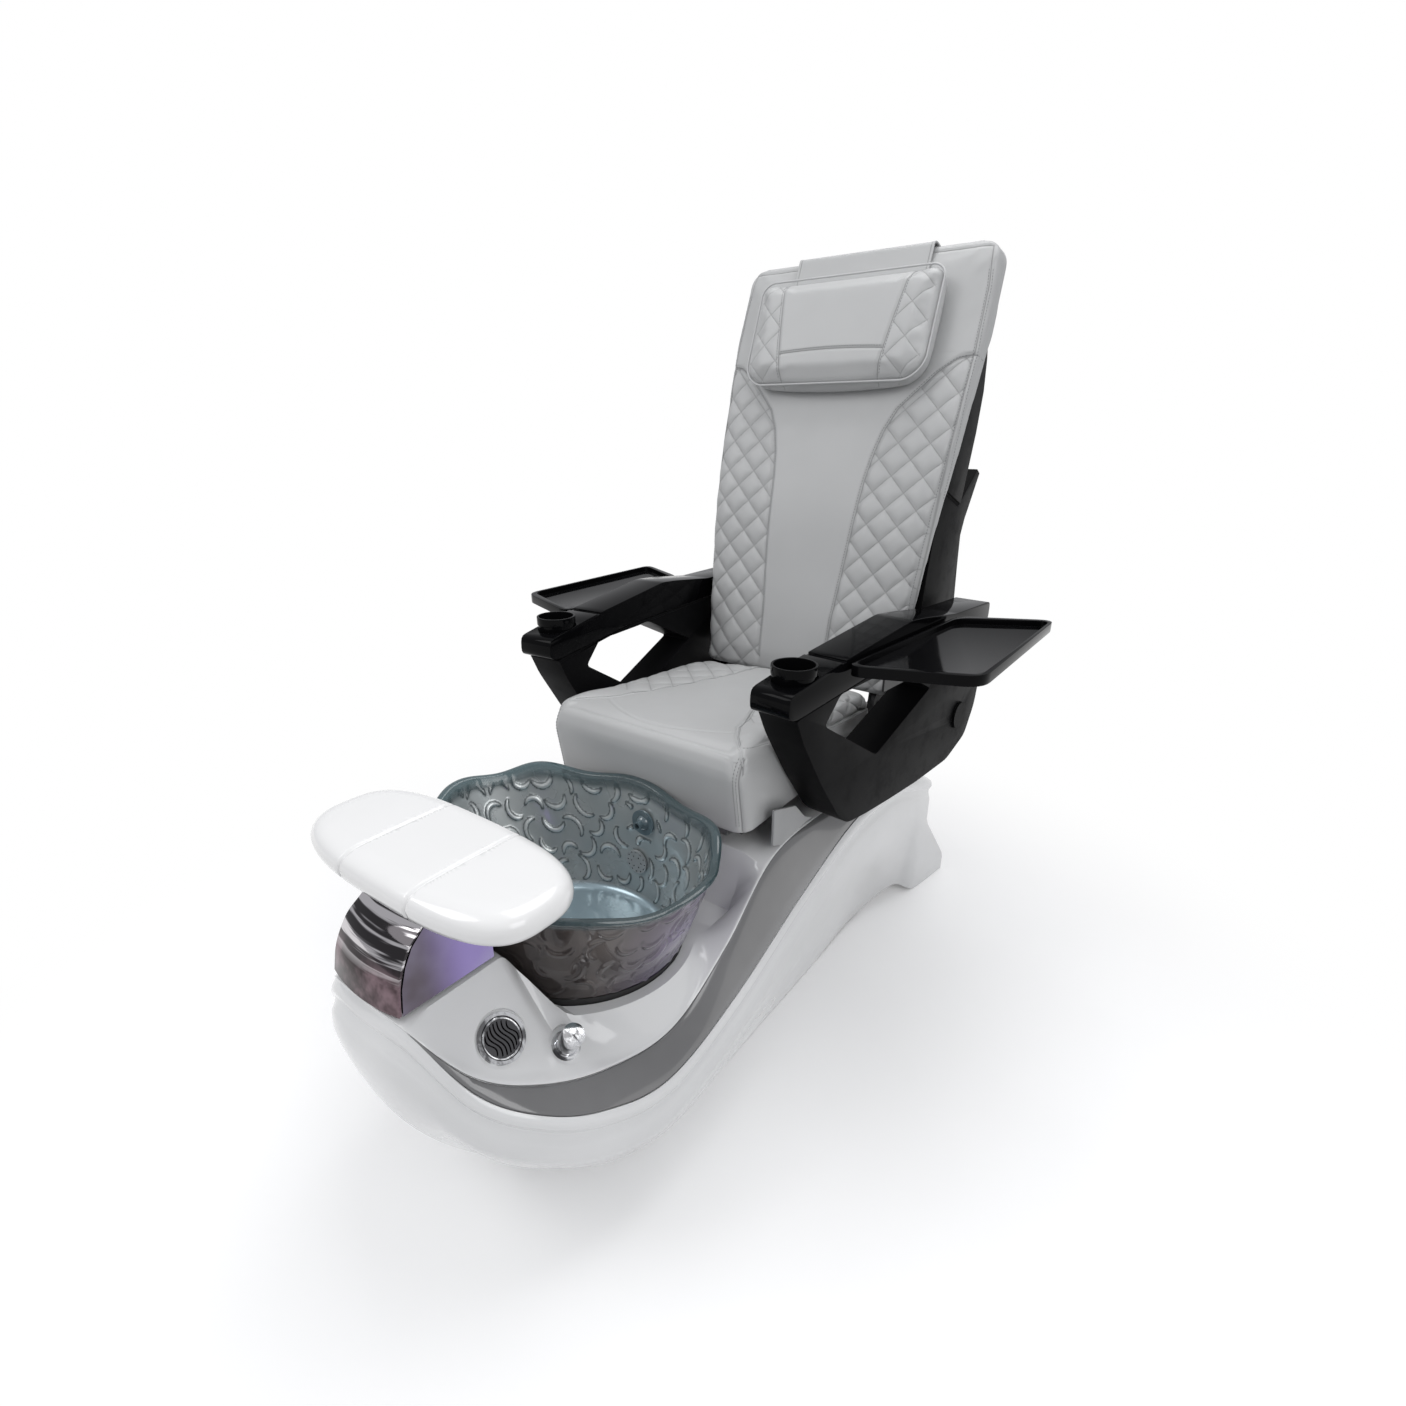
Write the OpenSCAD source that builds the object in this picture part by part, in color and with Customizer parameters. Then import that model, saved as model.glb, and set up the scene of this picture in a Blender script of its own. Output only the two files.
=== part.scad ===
// Pedicure spa chair: a moulded base that holds a foot tub with a wavy rim, a
// massage seat on slide rails with a reclining back, two lifting arms with cup
// holders and folding trays, and a footrest on a telescopic column.
// X points to the sitter's left, Y to the back and Z up; the floor is z = 0.

/* [Base shell] */
// Half width of the shell at its accent bands
shell_half_w = 280; // [266:1:300]
// Distance from the origin forward to the tip of the nose
nose_y = 716; // [700:1:740]
// Distance from the origin back to the heels of the feet
tail_y = 730; // [715:1:770]
// Height of the platform that carries the slide rails
platform_z = 455; // [445:1:475]
// Height of the crown between the nose and the tub
ridge_z = 458; // [448:1:470]
// Height of the deck beside the tub
ring_z = 352; // [344:1:358]
// Wall of the moulded shell
shell_t = 8; // [6:0.5:10]
// Thickness of the accent bands
band_t = 5; // [4:0.5:6]
// Half length of the rear access panel
panel_half_w = 150; // [120:5:180]

/* [Foot tub] */
// Distance from the origin forward to the centre of the tub
tub_y = 360; // [356:1:364]
// Half width of the rim
tub_a = 277; // [264:1:284]
// Half length of the rim
tub_b = 188; // [182:1:194]
// Mean height of the rim
tub_rim_z = 533; // [524:1:545]
// Height of the tub floor
tub_floor_z = 314; // [308:1:320]
// Wall of the tub
tub_t = 6; // [5:0.5:8]
// Number of waves round the rim
tub_waves = 8; // [6:1:10]
// Height of the rim waves
tub_wave = 5; // [2:0.5:7]
// Radius of the drain fitting's barrel
drain_r = 22; // [18:1:26]
// Radius of the jet's ball
jet_ball_r = 15; // [12:0.5:17]
// Radius of the suction cover
cover_r = 23; // [18:1:27]
// Holes in each ring of the suction cover, per ring number
cover_holes = 6; // [4:1:7]

/* [Tap and hand shower] */
// Radius of the tap's escutcheon
tap_plate_r = 21; // [18:1:24]
// Radius of the tap knob
tap_knob_r = 16; // [13:1:18]
// Height of the tap knob
tap_knob_h = 30; // [24:1:36]
// Radius of the hand shower's face
shower_r = 28; // [25:1:30]
// Number of wavy slots in the hand shower's face
shower_slots = 7; // [5:1:9]
// Length of the hand shower's body
shower_h = 70; // [60:1:84]

/* [Footrest] */
// Half length of the footrest pad across the chair
pad_half_w = 221; // [205:1:240]
// Width of the footrest pad along the chair
pad_w = 188; // [180:1:194]
// Thickness of the footrest pad
pad_t = 45; // [40:1:52]
// Distance from the middle to each groove across the pad
pad_groove_x = 72; // [60:1:90]
// Half width of the mirror-finished pillar at its foot
pillar_half_w = 76; // [70:1:82]
// Height of the pillar above the crown
pillar_h = 119; // [112:1:126]
// Width of the telescopic post
post_w = 60; // [50:1:70]
// Depth of the telescopic post along the chair
post_d = 34; // [28:1:40]
// Length of the telescopic post
post_l = 190; // [180:1:210]

/* [Seat] */
// Half width of the seat cushion
seat_half_w = 222; // [210:1:228]
// Length of the seat cushion
seat_len = 505; // [490:1:520]
// Thickness of the seat cushion at its front
seat_t = 148; // [136:1:156]
// Bulge of the seat's front over its foot
seat_bulge = 14; // [8:1:18]
// Height of the slide rails
rail_h = 14; // [12:0.5:16]
// Width of the slide rails
rail_w = 20; // [16:1:26]
// Length of the slide rails
rail_l = 600; // [580:5:620]
// Distance from the middle to each slide rail
rail_x = 140; // [120:1:150]
// Height of the carriage beams
beam_h = 24; // [20:1:26]
// Thickness of the seat pan
pan_t = 6; // [4:0.5:8]

/* [Backrest] */
// Half width of the backrest cushion at the seat
back_low_w = 240; // [232:1:244]
// Half width of the backrest cushion near the top
back_top_w = 296; // [285:1:304]
// Thickness of the backrest cushion
back_t = 62; // [54:1:64]
// Half width of the head pillow
pillow_half_w = 212; // [190:1:230]
// Thickness of the head pillow
pillow_t = 56; // [45:1:66]
// Half width of the strap that carries the pillow
strap_half_w = 155; // [120:1:170]
// Half width of the rear shells
rear_half_w = 262; // [250:1:266]
// Wall of the rear shells
rear_t = 4; // [3:0.5:5]
// Radius of the recline pins
recline_pin_r = 8; // [6:0.5:10]
// Radius of the massage rollers
roller_r = 27; // [22:1:30]
// Width of the massage rollers
roller_w = 16; // [12:1:20]

/* [Arms and trays] */
// Thickness of an arm
arm_t = 74; // [66:1:78]
// Angle by which each arm turns outward to the back
arm_splay = 5.3; // [4.5:0.1:6]
// Radius of the arm pivot pins
arm_pin_r = 12; // [9:0.5:14]
// Radius of the cap that covers an arm pivot
pivot_cap_r = 30; // [24:1:34]
// Inner radius of a cup holder
cup_r = 33; // [28:0.5:34]
// Depth of a cup holder
cup_depth = 55; // [45:1:58]
// Thickness of a tray over its rim
tray_t = 18; // [14:1:20]
// Width of a tray at its front end
tray_w = 191; // [160:1:210]
// Radius of a tray hinge's knuckles
knuckle_r = 5.5; // [4.5:0.5:6]
// Radius of a tray hinge's pin
tray_pin_r = 2.5; // [2:0.25:3]

/* [Frame] */
// Width of the square frame tubes
tube_w = 30; // [25:1:35]
// Distance from the middle to the centre of the long frame tubes
frame_x = 125; // [115:1:130]
// Radius of the levelling feet
foot_r = 24; // [18:1:28]
// Height of the frame above the floor
frame_z = 40; // [30:1:50]

/* [Hidden] */

$fn = 48;

// Clearances
fit = 0.06;     // running fit of a pin in its bore
gap = 0.4;      // between pieces that slide or sit beside each other
seat_gap = 5;   // between the tub's rim and the seat cushion
back_gap = 8;   // between the seat cushion and the backrest cushion

// ---------------------------------------------------------------- curves

// Catmull-Rom value between b and c
function mix4(a, b, c, d, t) =
    0.5 * (2 * b + (c - a) * t + (2 * a - 5 * b + 4 * c - d) * t * t
    + (3 * b - a - 3 * c + d) * t * t * t);

// Point at u on the smooth curve through the points p; the end is carried on
function along(p, u) =
    let (n = len(p) - 1, i = min(n - 1, max(0, floor(u))),
         a = i > 0 ? p[i - 1] : 2 * p[0] - p[1],
         d = i + 2 <= n ? p[i + 2] : 2 * p[n] - p[n - 1])
    mix4(a, p[i], p[i + 1], d, u - i);

// The same for a row that starts on the middle plane and goes on mirrored
function along_nose(p, u) =
    u >= 1 ? along(p, u) : mix4([-p[1][0], p[1][1], p[1][2]], p[0], p[1], p[2], u);

// Value at z of a table of [z, value] pairs, joined by straight lines
function table(rows, z) =
    z <= rows[0][0] ? rows[0][1] :
    z >= rows[len(rows) - 1][0] ? rows[len(rows) - 1][1] :
    let (k = [for (i = [0 : len(rows) - 2]) if (z >= rows[i][0] && z <= rows[i + 1][0]) i][0])
    rows[k][1] + (rows[k + 1][1] - rows[k][1]) * (z - rows[k][0]) / (rows[k + 1][0] - rows[k][0]);

function ramp(x, a, b) =
    let (t = min(1, max(0, (x - a) / (b - a)))) t * t * (3 - 2 * t);

function unit(v) = v / max(1e-9, norm(v));

// Superellipse point at angle q
function superellipse(a, b, n, q) =
    let (c = cos(q), s = sin(q))
    [a * sign(c) * pow(abs(c), 2 / n), b * sign(s) * pow(abs(s), 2 / n)];

// Outline with each corner of pts rounded over the distance r
function rounded(pts, r, steps = 5) =
    [for (i = [0 : len(pts) - 1])
        let (v = pts[i], a = pts[(i + len(pts) - 1) % len(pts)], b = pts[(i + 1) % len(pts)],
             da = min(r, norm(a - v) * 0.45), db = min(r, norm(b - v) * 0.45),
             p = v + unit(a - v) * da, q = v + unit(b - v) * db)
        for (k = [0 : steps])
            let (t = k / steps) p * (1 - t) * (1 - t) + v * 2 * t * (1 - t) + q * t * t];

// ---------------------------------------------------------------- lofts

// Closed solid through rings of equal count. Every second quad is split along
// its other diagonal. With closed = true the last ring meets the first.
module loft(rings, closed = false) {
    n = len(rings[0]);
    m = len(rings);
    sides = [for (i = [0 : m - (closed ? 1 : 2)], j = [0 : n - 1])
        let (a = i * n + j, b = i * n + (j + 1) % n,
             c = ((i + 1) % m) * n + (j + 1) % n, d = ((i + 1) % m) * n + j)
        each (i + j) % 2 == 0 ? [[a, c, b], [a, d, c]] : [[a, d, b], [b, d, c]]];
    caps = closed ? [] : [
        [for (j = [0 : n - 1]) j],
        [for (j = [n - 1 : -1 : 0]) (m - 1) * n + j]];
    polyhedron([for (r = rings) each r], concat(sides, caps));
}

// Flat plate from a [y, z] outline between x0 and x1
module slab(outline, x0, x1) {
    translate([x0, 0, 0]) rotate([90, 0, 90]) linear_extrude(x1 - x0) polygon(outline);
}

// Draws its children on the left side as they are, and mirrored on the right
module side(s) {
    if (s > 0) children();
    else mirror([1, 0, 0]) children();
}

// ---------------------------------------------------------------- base shell

kx = shell_half_w / 280;
function sy(y) = y < -360 ? -tub_y + (y + 360) * (nose_y - tub_y) / 356
    : -tub_y + (y + 360) * (tail_y + tub_y) / 1090;
function place(rows) = [for (p = rows) [p[0] * kx, sy(p[1]), p[2]]];

// Control points of the left side, from the middle of the nose to the tail
deck_row = place([
    [0, -714, ridge_z], [76, -711, ridge_z - 4], [143, -666, 381], [187, -600, 338],
    [218, -509, 305], [236, -384, 288], [242, -252, 352], [243, -103, platform_z - 4],
    [245, 120, platform_z - 2], [248, 330, platform_z - 6], [252, 460, platform_z - 40],
    [257, 530, platform_z - 80], [260, 585, platform_z - 120]]);
band_row = place([
    [0, -713, ridge_z - 6], [78, -709, ridge_z - 11], [155, -676, 361], [213, -625, 317],
    [249, -547, 275], [267, -428, 238], [274, -263, 272], [276, -50, 348],
    [278, 150, 403], [281, 340, platform_z - 52], [283, 470, platform_z - 88],
    [284, 536, platform_z - 112], [284, 588, platform_z - 133]]);
floor_row = place([
    [0, -538, 0], [66, -498, 0], [122, -452, 0], [165, -403, 0],
    [186, -350, 0], [191, -270, 0], [193, -170, 0], [195, -20, 0],
    [197, 170, 0], [200, 380, 8], [238, 520, 34], [273, 592, 0],
    [298, 728, 0]]);
stations = len(deck_row) - 1;
steps = 3;

// Height of the deck on the middle line, from the nose to the tail
function crown_z(y) =
    ring_z + (ridge_z - ring_z) * (1 - ramp(y, sy(-562), sy(-500)))
    + (platform_z - ring_z) * ramp(y, sy(-172), sy(-128))
    - (platform_z - ring_z) * ramp(y, sy(465), sy(600));
// Half width of the level part of the deck
function level_x(y, xe) =
    let (h = tub_b * 1.05, d = abs(y + tub_y),
         ring = d < h ? 217 * sqrt(1 - d * d / h / h) : 0)
    min(0.93 * xe, max(ring, (pillar_half_w + 2) * (1 - ramp(y, -tub_y - 100, -tub_y)),
        0.8 * xe * ramp(y, -tub_y, -tub_y + 130)));

// Outward direction of the side in plan
function outward(u) =
    let (d = along_nose(band_row, min(stations, u + 0.02)) - along_nose(band_row, u - 0.02))
    u == 0 ? [0, -1, 0] : unit([d[1], -d[0], 0]);

// Points from the middle of the deck over the side to the middle of the floor.
// Round the nose they lie behind the edge, so that the first ones form its middle line.
function section(u, t) =
    let (e = along_nose(deck_row, u), b = along_nose(band_row, u), f = along_nose(floor_row, u),
         n = outward(u), x0 = level_x(e[1], e[0]), tail = ramp(u, stations - 1, stations),
         back = [0, -t * 1.5 * tail, 0], tip = 1 - ramp(u, 0, 3), lead = (14 + 26 * ramp(u, 0, 1.5)) * (1 - ramp(u, 2, 4)),
         k = b + n * (3 + 17 * tip) - [0, 0, 72])
    concat(
        [[0, e[1] + 1.5 * lead, crown_z(e[1] + 1.5 * lead) + 3 - 1.5 * t] + back],
        [for (g = [0, 0.35, 0.7, 1])
            let (y = e[1] + lead * (1 - g))
            [x0 + (e[0] - x0) * g, y,
             e[2] + (crown_z(y) - e[2]) * pow(1 - g, 1.4) - t * (1.5 - 0.5 * g)] - n * t * g + back],
        [for (d = [[0, 0.7], [4 + 5 * tip, 16.7], [0.5 + 14 * tip, 42], [3 + 17 * tip, 72]])
            b + n * (d[0] - t) - [0, 0, d[1] + (d[1] < 1 ? t * 0.7 : 0)] + back],
        [for (g = [0.2, 0.5, 0.82, 1])
            let (h = (1 - tail) * pow(g, 1.3 + 0.45 * tip) + tail * min(1, max(0, (g - 0.17) / 0.65)))
            [k[0] + (f[0] - k[0]) * h, k[1] + (f[1] - k[1]) * h, k[2] + (max(0, f[2]) - k[2]) * g]
            - n * t + back - [0, 0, g == 1 ? t : 0]],
        [[0, f[1] + lead - 2 * tail, max(0, f[2]) - t] + back]);

// Closed hull of the base, drawn in from its surface by t
module hull_solid(t, steps) {
    half = [for (i = [0 : stations * steps]) section(i / steps, t)];
    n = len(half[0]);
    ring = 2 * n - 2;
    m = len(half);
    points = concat(half[0], [for (i = [1 : m - 1])
        each concat(half[i], [for (j = [n - 2 : -1 : 1]) [-half[i][j][0], half[i][j][1], half[i][j][2]]])]);
    function far(j) = (ring - j) % ring;
    function at(i, j) = i > 0 ? n + (i - 1) * ring + j % ring : j % ring < n ? j % ring : far(j);
    skin = [for (i = [0 : m - 2], j = [0 : ring - 1])
        let (a = at(i, j), b = at(i, j + 1), c = at(i + 1, j + 1), d = at(i + 1, j))
        each j < n - 2 || j == n - 1 ? [[a, c, b], [a, d, c]] : [[a, d, b], [b, d, c]]];
    e = m - 1;
    tail = [for (j = [0 : n - 2])
        each j == 0 ? [[at(e, 0), at(e, far(1)), at(e, 1)]]
            : j == n - 2 ? [[at(e, j), at(e, far(j)), at(e, j + 1)]]
            : [[at(e, j), at(e, far(j + 1)), at(e, j + 1)], [at(e, j), at(e, far(j)), at(e, far(j + 1))]]];
    polyhedron(points, concat(skin, tail));
}

// Strip between the deck edge and the band's outer edge, so many steps long
band_start = 1.4;
band_steps = 22;
module band_strip(inset, over, depth, count) {
    rings = [for (i = [0 : count])
        let (u = band_start + i / steps,
             e = along_nose(deck_row, u), b = along_nose(band_row, u) - [0, 0, 0.7],
             d = along_nose(deck_row, u + 0.02) - along_nose(deck_row, u - 0.02),
             w = b - e, n = unit(cross(w, d)),
             p = e + unit(w) * inset, q = b - unit(w) * inset)
        [p + n * over, q + n * over, q - n * depth, p - n * depth]];
    loft(rings);
}

module base_shell() {
    color("white") difference() {
        union() {
            difference() {
                hull_solid(0, steps);
                hull_solid(shell_t, steps);
            }
            tap_axis() translate([0, 0, -14]) cylinder(h = 13, r = tap_plate_r + 3);
            shower_axis() translate([0, 0, -14]) cylinder(h = 13, r = shower_r + 6);
        }
        for (s = [1, -1]) side(s) band_strip(1, 4, band_t + gap, band_steps);
        tub_outer(4, tub_floor_z - 40, tub_rim_z + 60);
        tap_axis() translate([0, 0, -60]) cylinder(h = 70, r = tap_plate_r - 8);
        tap_axis() translate([0, 0, -1]) cylinder(h = 60, r = tap_plate_r + 6);
        shower_axis() translate([0, 0, -60]) cylinder(h = 70, r = shower_r + 2 + gap);
        shower_axis() translate([0, 0, -1]) cylinder(h = 60, r = shower_r + 9);
        jet_notch();
        column_hole();
        for (x = [-1, 1]) rear_inlet(x);
        panel_holes();
    }
}

module accent_band(s) {
    color([0.5, 0.5, 0.5]) side(s) band_strip(1 + 3 * gap, -0.6, band_t - gap, band_steps - 1);
}

tail_face_y = sy(588);
panel_h = 70;
panel_z = platform_z - 203;
inlet_z = panel_z + panel_h / 2;
screw_r = 2.4;
module rear_panel() {
    color("white") difference() {
        translate([-panel_half_w, tail_face_y + 1, panel_z]) cube([2 * panel_half_w, 3, panel_h]);
        panel_holes();
        rear_inlet(1);
        rear_inlet(-1);
    }
}
// Places of the screws in the corners of the panel
module panel_corners() {
    for (x = [-1, 1], z = [8, panel_h - 8])
        translate([x * (panel_half_w - 12), tail_face_y, panel_z + z]) rotate([-90, 0, 0]) children();
}
module panel_holes() {
    panel_corners() translate([0, 0, -16]) cylinder(h = 32, r = screw_r + 2 * gap);
}
module panel_screws() {
    color([0.7, 0.7, 0.7]) panel_corners() {
        translate([0, 0, 4.1]) cylinder(h = 2.4, r = 5);
        translate([0, 0, -10]) cylinder(h = 14.5, r = screw_r);
    }
}

// Water and power entries in the rear face
module rear_inlet(x) {
    translate([x * 70, tail_face_y - 40, inlet_z]) rotate([-90, 0, 0]) cylinder(h = 80, r = 16);
}

// ---------------------------------------------------------------- frame

module base_frame() {
    x = frame_x;
    top = platform_z - shell_t - 6;
    w = tube_w;
    shelf = tub_floor_z - tub_t - 2 - 6;
    front = sy(-96);
    color([0.25, 0.25, 0.25]) difference() {
        union() {
            for (s = [-1, 1]) {
                translate([s * x - w / 2, sy(-385), frame_z]) cube([w, sy(500) - sy(-385), w]);
                translate([s * x - w / 2, front, top - w]) cube([w, seat_y0 + 600 - front, w]);
                for (y = [front, seat_y0 + 305, seat_y0 + 555])
                    translate([s * x - w / 2, y, frame_z + w / 2])
                        cube([w, w, top - frame_z - w / 2]);
                for (y = [-tub_y + 10, -tub_y + 110])
                    translate([s * x - w / 2, y - w / 2, frame_z + w / 2])
                        cube([w, w, shelf + 3 - frame_z - w / 2]);
            }
            for (y = [sy(-385), -w / 2, seat_y0 + 320, sy(500) - w])
                translate([-x, y, frame_z]) cube([2 * x, w, w]);
            for (y = [front + w, seat_y0 + 540])
                translate([-x, y, top - w]) cube([2 * x, w, w]);
            translate([-x - w / 2, -tub_y - 60, shelf]) cube([2 * x + w, 190, 6]);
        }
        translate([0, -tub_y, shelf - 20]) cylinder(h = 60, r = drain_r + 22);
    }
}

foot_spots = concat([[0, 0]], [for (x = [-1, 1], y = [sy(-370), sy(60), sy(485)]) [x * frame_x, y]]);
module levelling_feet() {
    color([0.1, 0.1, 0.1]) for (p = foot_spots) translate([p[0], p[1], 0]) {
        cylinder(h = 8, r = foot_r * 0.9);
        cylinder(h = frame_z - gap, r = 6);
    }
}

// ---------------------------------------------------------------- tub

// Half sizes and exponent of the tub's outer wall at height z
function tub_wall(z) =
    let (f = min(1, max(0, (z - tub_floor_z) / (tub_rim_z - tub_floor_z))),
         a0 = 172, b0 = 168)
    [a0 + (tub_a - 8 - a0) * pow(f, 0.8), b0 + (tub_b - 8 - b0) * pow(f, 0.45), 2 + 0.15 * f];

// Ring of the tub at height z, moved out by d, with its share w of the waves
tub_segments = 64;
function tub_ring(z, d, w) =
    let (s = tub_wall(z))
    [for (k = [0 : tub_segments - 1])
        let (q = 360 * k / tub_segments, v = sin(tub_waves * q + 90),
             p = superellipse(s[0] + d, s[1] + d, s[2], q), r = 1 + 0.016 * w * v)
        [p[0] * r, -tub_y + p[1] * r, z + tub_wave * w * v + w * 0.07 * p[1]]];

module tub_outer(clear, z0, z1) {
    loft([for (i = [0 : 7])
        let (z = z0 + (z1 - z0) * i / 7) tub_ring(z, clear, 0)]);
}

module tub() {
    base = tub_floor_z - tub_t - 2;
    top = tub_rim_z;
    levels = [0.06, 0.2, 0.4, 0.62, 0.82];
    function lift(f) = base + (top - base) * f;
    rings = concat(
        [tub_ring(base, -22, 0), tub_ring(base + 2, -10, 0), tub_ring(base + 8, -3, 0)],
        [for (f = levels) tub_ring(lift(f + 0.05), 0, pow(f, 3))],
        [tub_ring(top - 7, 0, 1), tub_ring(top - 5, 7, 1), tub_ring(top + 1, 8, 1),
         tub_ring(top + 4, 3, 1), tub_ring(top + 2, -3, 1), tub_ring(top - 6, -tub_t, 1)],
        [for (i = [len(levels) - 1 : -1 : 0])
            tub_ring(lift(levels[i] + 0.05), -tub_t, pow(levels[i], 3))],
        [tub_ring(tub_floor_z + 4, -tub_t - 8, 0), tub_ring(tub_floor_z, -tub_t - 20, 0)]);
    color([0.45, 0.55, 0.58, 0.7]) difference() {
        loft(rings);
        translate([0, -tub_y, base - 5]) cylinder(h = 40, r = drain_r + gap);
        jet_axis() translate([0, 0, -60]) cylinder(h = 120, r = jet_ball_r + 4 + gap);
        cover_axis() translate([0, 0, -30]) cylinder(h = 60, r = 8);
        light_axis() translate([0, 0, -30]) cylinder(h = 60, r = 10 + gap);
    }
}

module tub_gasket() {
    z = ring_z + 5;
    color([0.85, 0.85, 0.85]) loft([
        tub_ring(z - 8, gap, 0), tub_ring(z - 8, 2, 0), tub_ring(z + 6, 2, 0),
        tub_ring(z + 8, 1.4, 0), tub_ring(z + 8, gap, 0)], closed = true);
}

// Axes of the fittings in the tub's rear and front wall, from outside inward
jet_z = 478;
jet_x = 22;
jet_wall_y = -tub_y + tub_wall(jet_z)[1];
module jet_axis() {
    translate([jet_x, jet_wall_y, jet_z]) rotate([90, 0, 0]) children();
}
cover_z = 392;
module cover_axis() {
    translate([6, -tub_y + tub_wall(cover_z)[1] - tub_t, cover_z]) rotate([90, 0, 0]) children();
}
light_z = 430;
module light_axis() {
    translate([0, -tub_y - tub_wall(light_z)[1] + tub_t, light_z]) rotate([-90, 0, 0]) children();
}
// Pocket in the deck behind the tub for the jet's housing
module jet_notch() {
    translate([jet_x - jet_ball_r - 10, jet_wall_y - 10, jet_z - jet_ball_r - 12])
        cube([2 * jet_ball_r + 20, 48, 80]);
}
module jet_housing() {
    color([0.3, 0.3, 0.32]) jet_axis() difference() {
        union() {
            translate([0, 0, -22]) cylinder(h = 22 + tub_t + 2.5, r = jet_ball_r + 4);
            translate([0, 0, tub_t + 2.5]) cylinder(h = 4, r = jet_ball_r + 9);
        }
        translate([0, 0, tub_t]) sphere(r = jet_ball_r + gap);
        translate([0, 0, tub_t]) cylinder(h = 40, r = jet_ball_r - 2);
    }
}
module jet_nozzle() {
    color([0.35, 0.42, 0.45]) jet_axis() translate([0, 0, tub_t]) difference() {
        union() {
            sphere(r = jet_ball_r);
            cylinder(h = jet_ball_r + 7, r = jet_ball_r * 0.55);
        }
        translate([0, 0, -4]) cylinder(h = 60, r = jet_ball_r * 0.35);
    }
}
module suction_cover() {
    color([0.5, 0.55, 0.57]) cover_axis() difference() {
        union() {
            translate([0, 0, 2]) cylinder(h = 4, r = cover_r);
            translate([0, 0, -tub_t - 6]) cylinder(h = tub_t + 9, r = 8 - gap);
        }
        for (n = [1 : 2], k = [0 : n * cover_holes - 1])
            rotate(360 * k / (n * cover_holes)) translate([n * cover_r * 0.36 + 3, 0, -1])
                cylinder(h = 20, r = 1.8, $fn = 16);
    }
}
module tub_light() {
    color([0.6, 0.45, 0.9]) light_axis() {
        translate([0, 0, -8]) cylinder(h = 10, r = 10);
        translate([0, 0, 1.5]) cylinder(h = 3, r = 14);
    }
}
module drain_fitting() {
    z = tub_floor_z;
    color([0.8, 0.8, 0.8]) translate([0, -tub_y, 0]) difference() {
        union() {
            translate([0, 0, z + gap / 4]) cylinder(h = 3, r = drain_r + 9);
            translate([0, 0, z - 60]) cylinder(h = 61, r = drain_r);
        }
        translate([0, 0, z - 10]) cylinder(h = 30, r = drain_r - 3);
        for (k = [0 : 5]) rotate(60 * k) translate([drain_r * 0.55, 0, z - 80])
            cylinder(h = 100, r = drain_r * 0.18, $fn = 24);
        translate([0, 0, z - 80]) cylinder(h = 60, r = drain_r - 4);
        translate([0, 0, z - 40]) cylinder(h = 60, r = 3 + fit);
    }
}
module drain_stopper() {
    z = tub_floor_z;
    color([0.85, 0.85, 0.85]) translate([0, -tub_y, 0]) {
        translate([0, 0, z - 9.6]) cylinder(h = 11, r = drain_r - 3.5);
        translate([0, 0, z - 50]) cylinder(h = 45, r = 3);
    }
}
module drain_pipe() {
    z = tub_floor_z - 62;
    color([0.9, 0.9, 0.9]) translate([0, -tub_y, 0]) difference() {
        union() {
            translate([0, 0, 70]) cylinder(h = z - 70 + 6, r = drain_r + 5);
            translate([0, 0, 88]) rotate([-90, 0, 0]) cylinder(h = 300, r = 18);
        }
        translate([0, 0, z - 1]) cylinder(h = 20, r = drain_r + gap);
        translate([0, 0, 76]) cylinder(h = 400, r = drain_r - 4);
        translate([0, 0, 88]) rotate([-90, 0, 0]) cylinder(h = 320, r = 14);
    }
}

// ---------------------------------------------------------------- tap and shower

tap_pos = [169 * kx, sy(-535), 336];
module tap_axis() {
    translate(tap_pos) rotate([0, 31, 0]) children();
}
shower_pos = [130 * kx, sy(-610), 386];
module shower_axis() {
    translate(shower_pos) rotate([0, 42, 0]) children();
}
tap_base_h = 5;
module tap_escutcheon() {
    color([0.8, 0.8, 0.82]) tap_axis() difference() {
        union() {
            translate([0, 0, -1 + gap / 4]) cylinder(h = tap_base_h, r1 = tap_plate_r, r2 = tap_plate_r - 3);
            translate([0, 0, -1]) cylinder(h = tap_base_h + 3, r = tap_knob_r - 3);
        }
        translate([0, 0, -5]) cylinder(h = 40, r = 6 + gap);
    }
}
module tap_knob() {
    color([0.75, 0.76, 0.78]) tap_axis() {
        difference() {
            translate([0, 0, tap_base_h]) cylinder(h = tap_knob_h, r = tap_knob_r);
            translate([0, 0, tap_base_h - 1]) cylinder(h = 4, r = tap_knob_r - 3 + gap);
        }
        translate([0, 0, -22]) cylinder(h = 30 + tap_base_h, r = 6);
        translate([0, -1.5, tap_base_h + tap_knob_h - 1]) cube([tap_knob_r - 1, 3, 3]);
    }
}
module mixer_valve() {
    color([0.7, 0.6, 0.35]) tap_axis() difference() {
        union() {
            translate([0, 0, -78]) cylinder(h = 76, r = tap_plate_r - 9);
            for (s = [-1, 1]) translate([0, 0, -66]) rotate([s * 90, 0, 0]) cylinder(h = 26, r = 7);
        }
        translate([0, 0, -24]) cylinder(h = 40, r = 6 + fit);
    }
}
module shower_socket() {
    color([0.82, 0.82, 0.84]) shower_axis() difference() {
        union() {
            translate([0, 0, -1 + gap / 4]) cylinder(h = 4, r = shower_r + 5);
            translate([0, 0, -shower_h]) cylinder(h = shower_h, r = shower_r + 2);
        }
        translate([0, 0, -shower_h + 4]) cylinder(h = shower_h + 20, r = shower_r + gap / 2);
        translate([0, 0, -shower_h - 5]) cylinder(h = 20, r = 9);
    }
}
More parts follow.
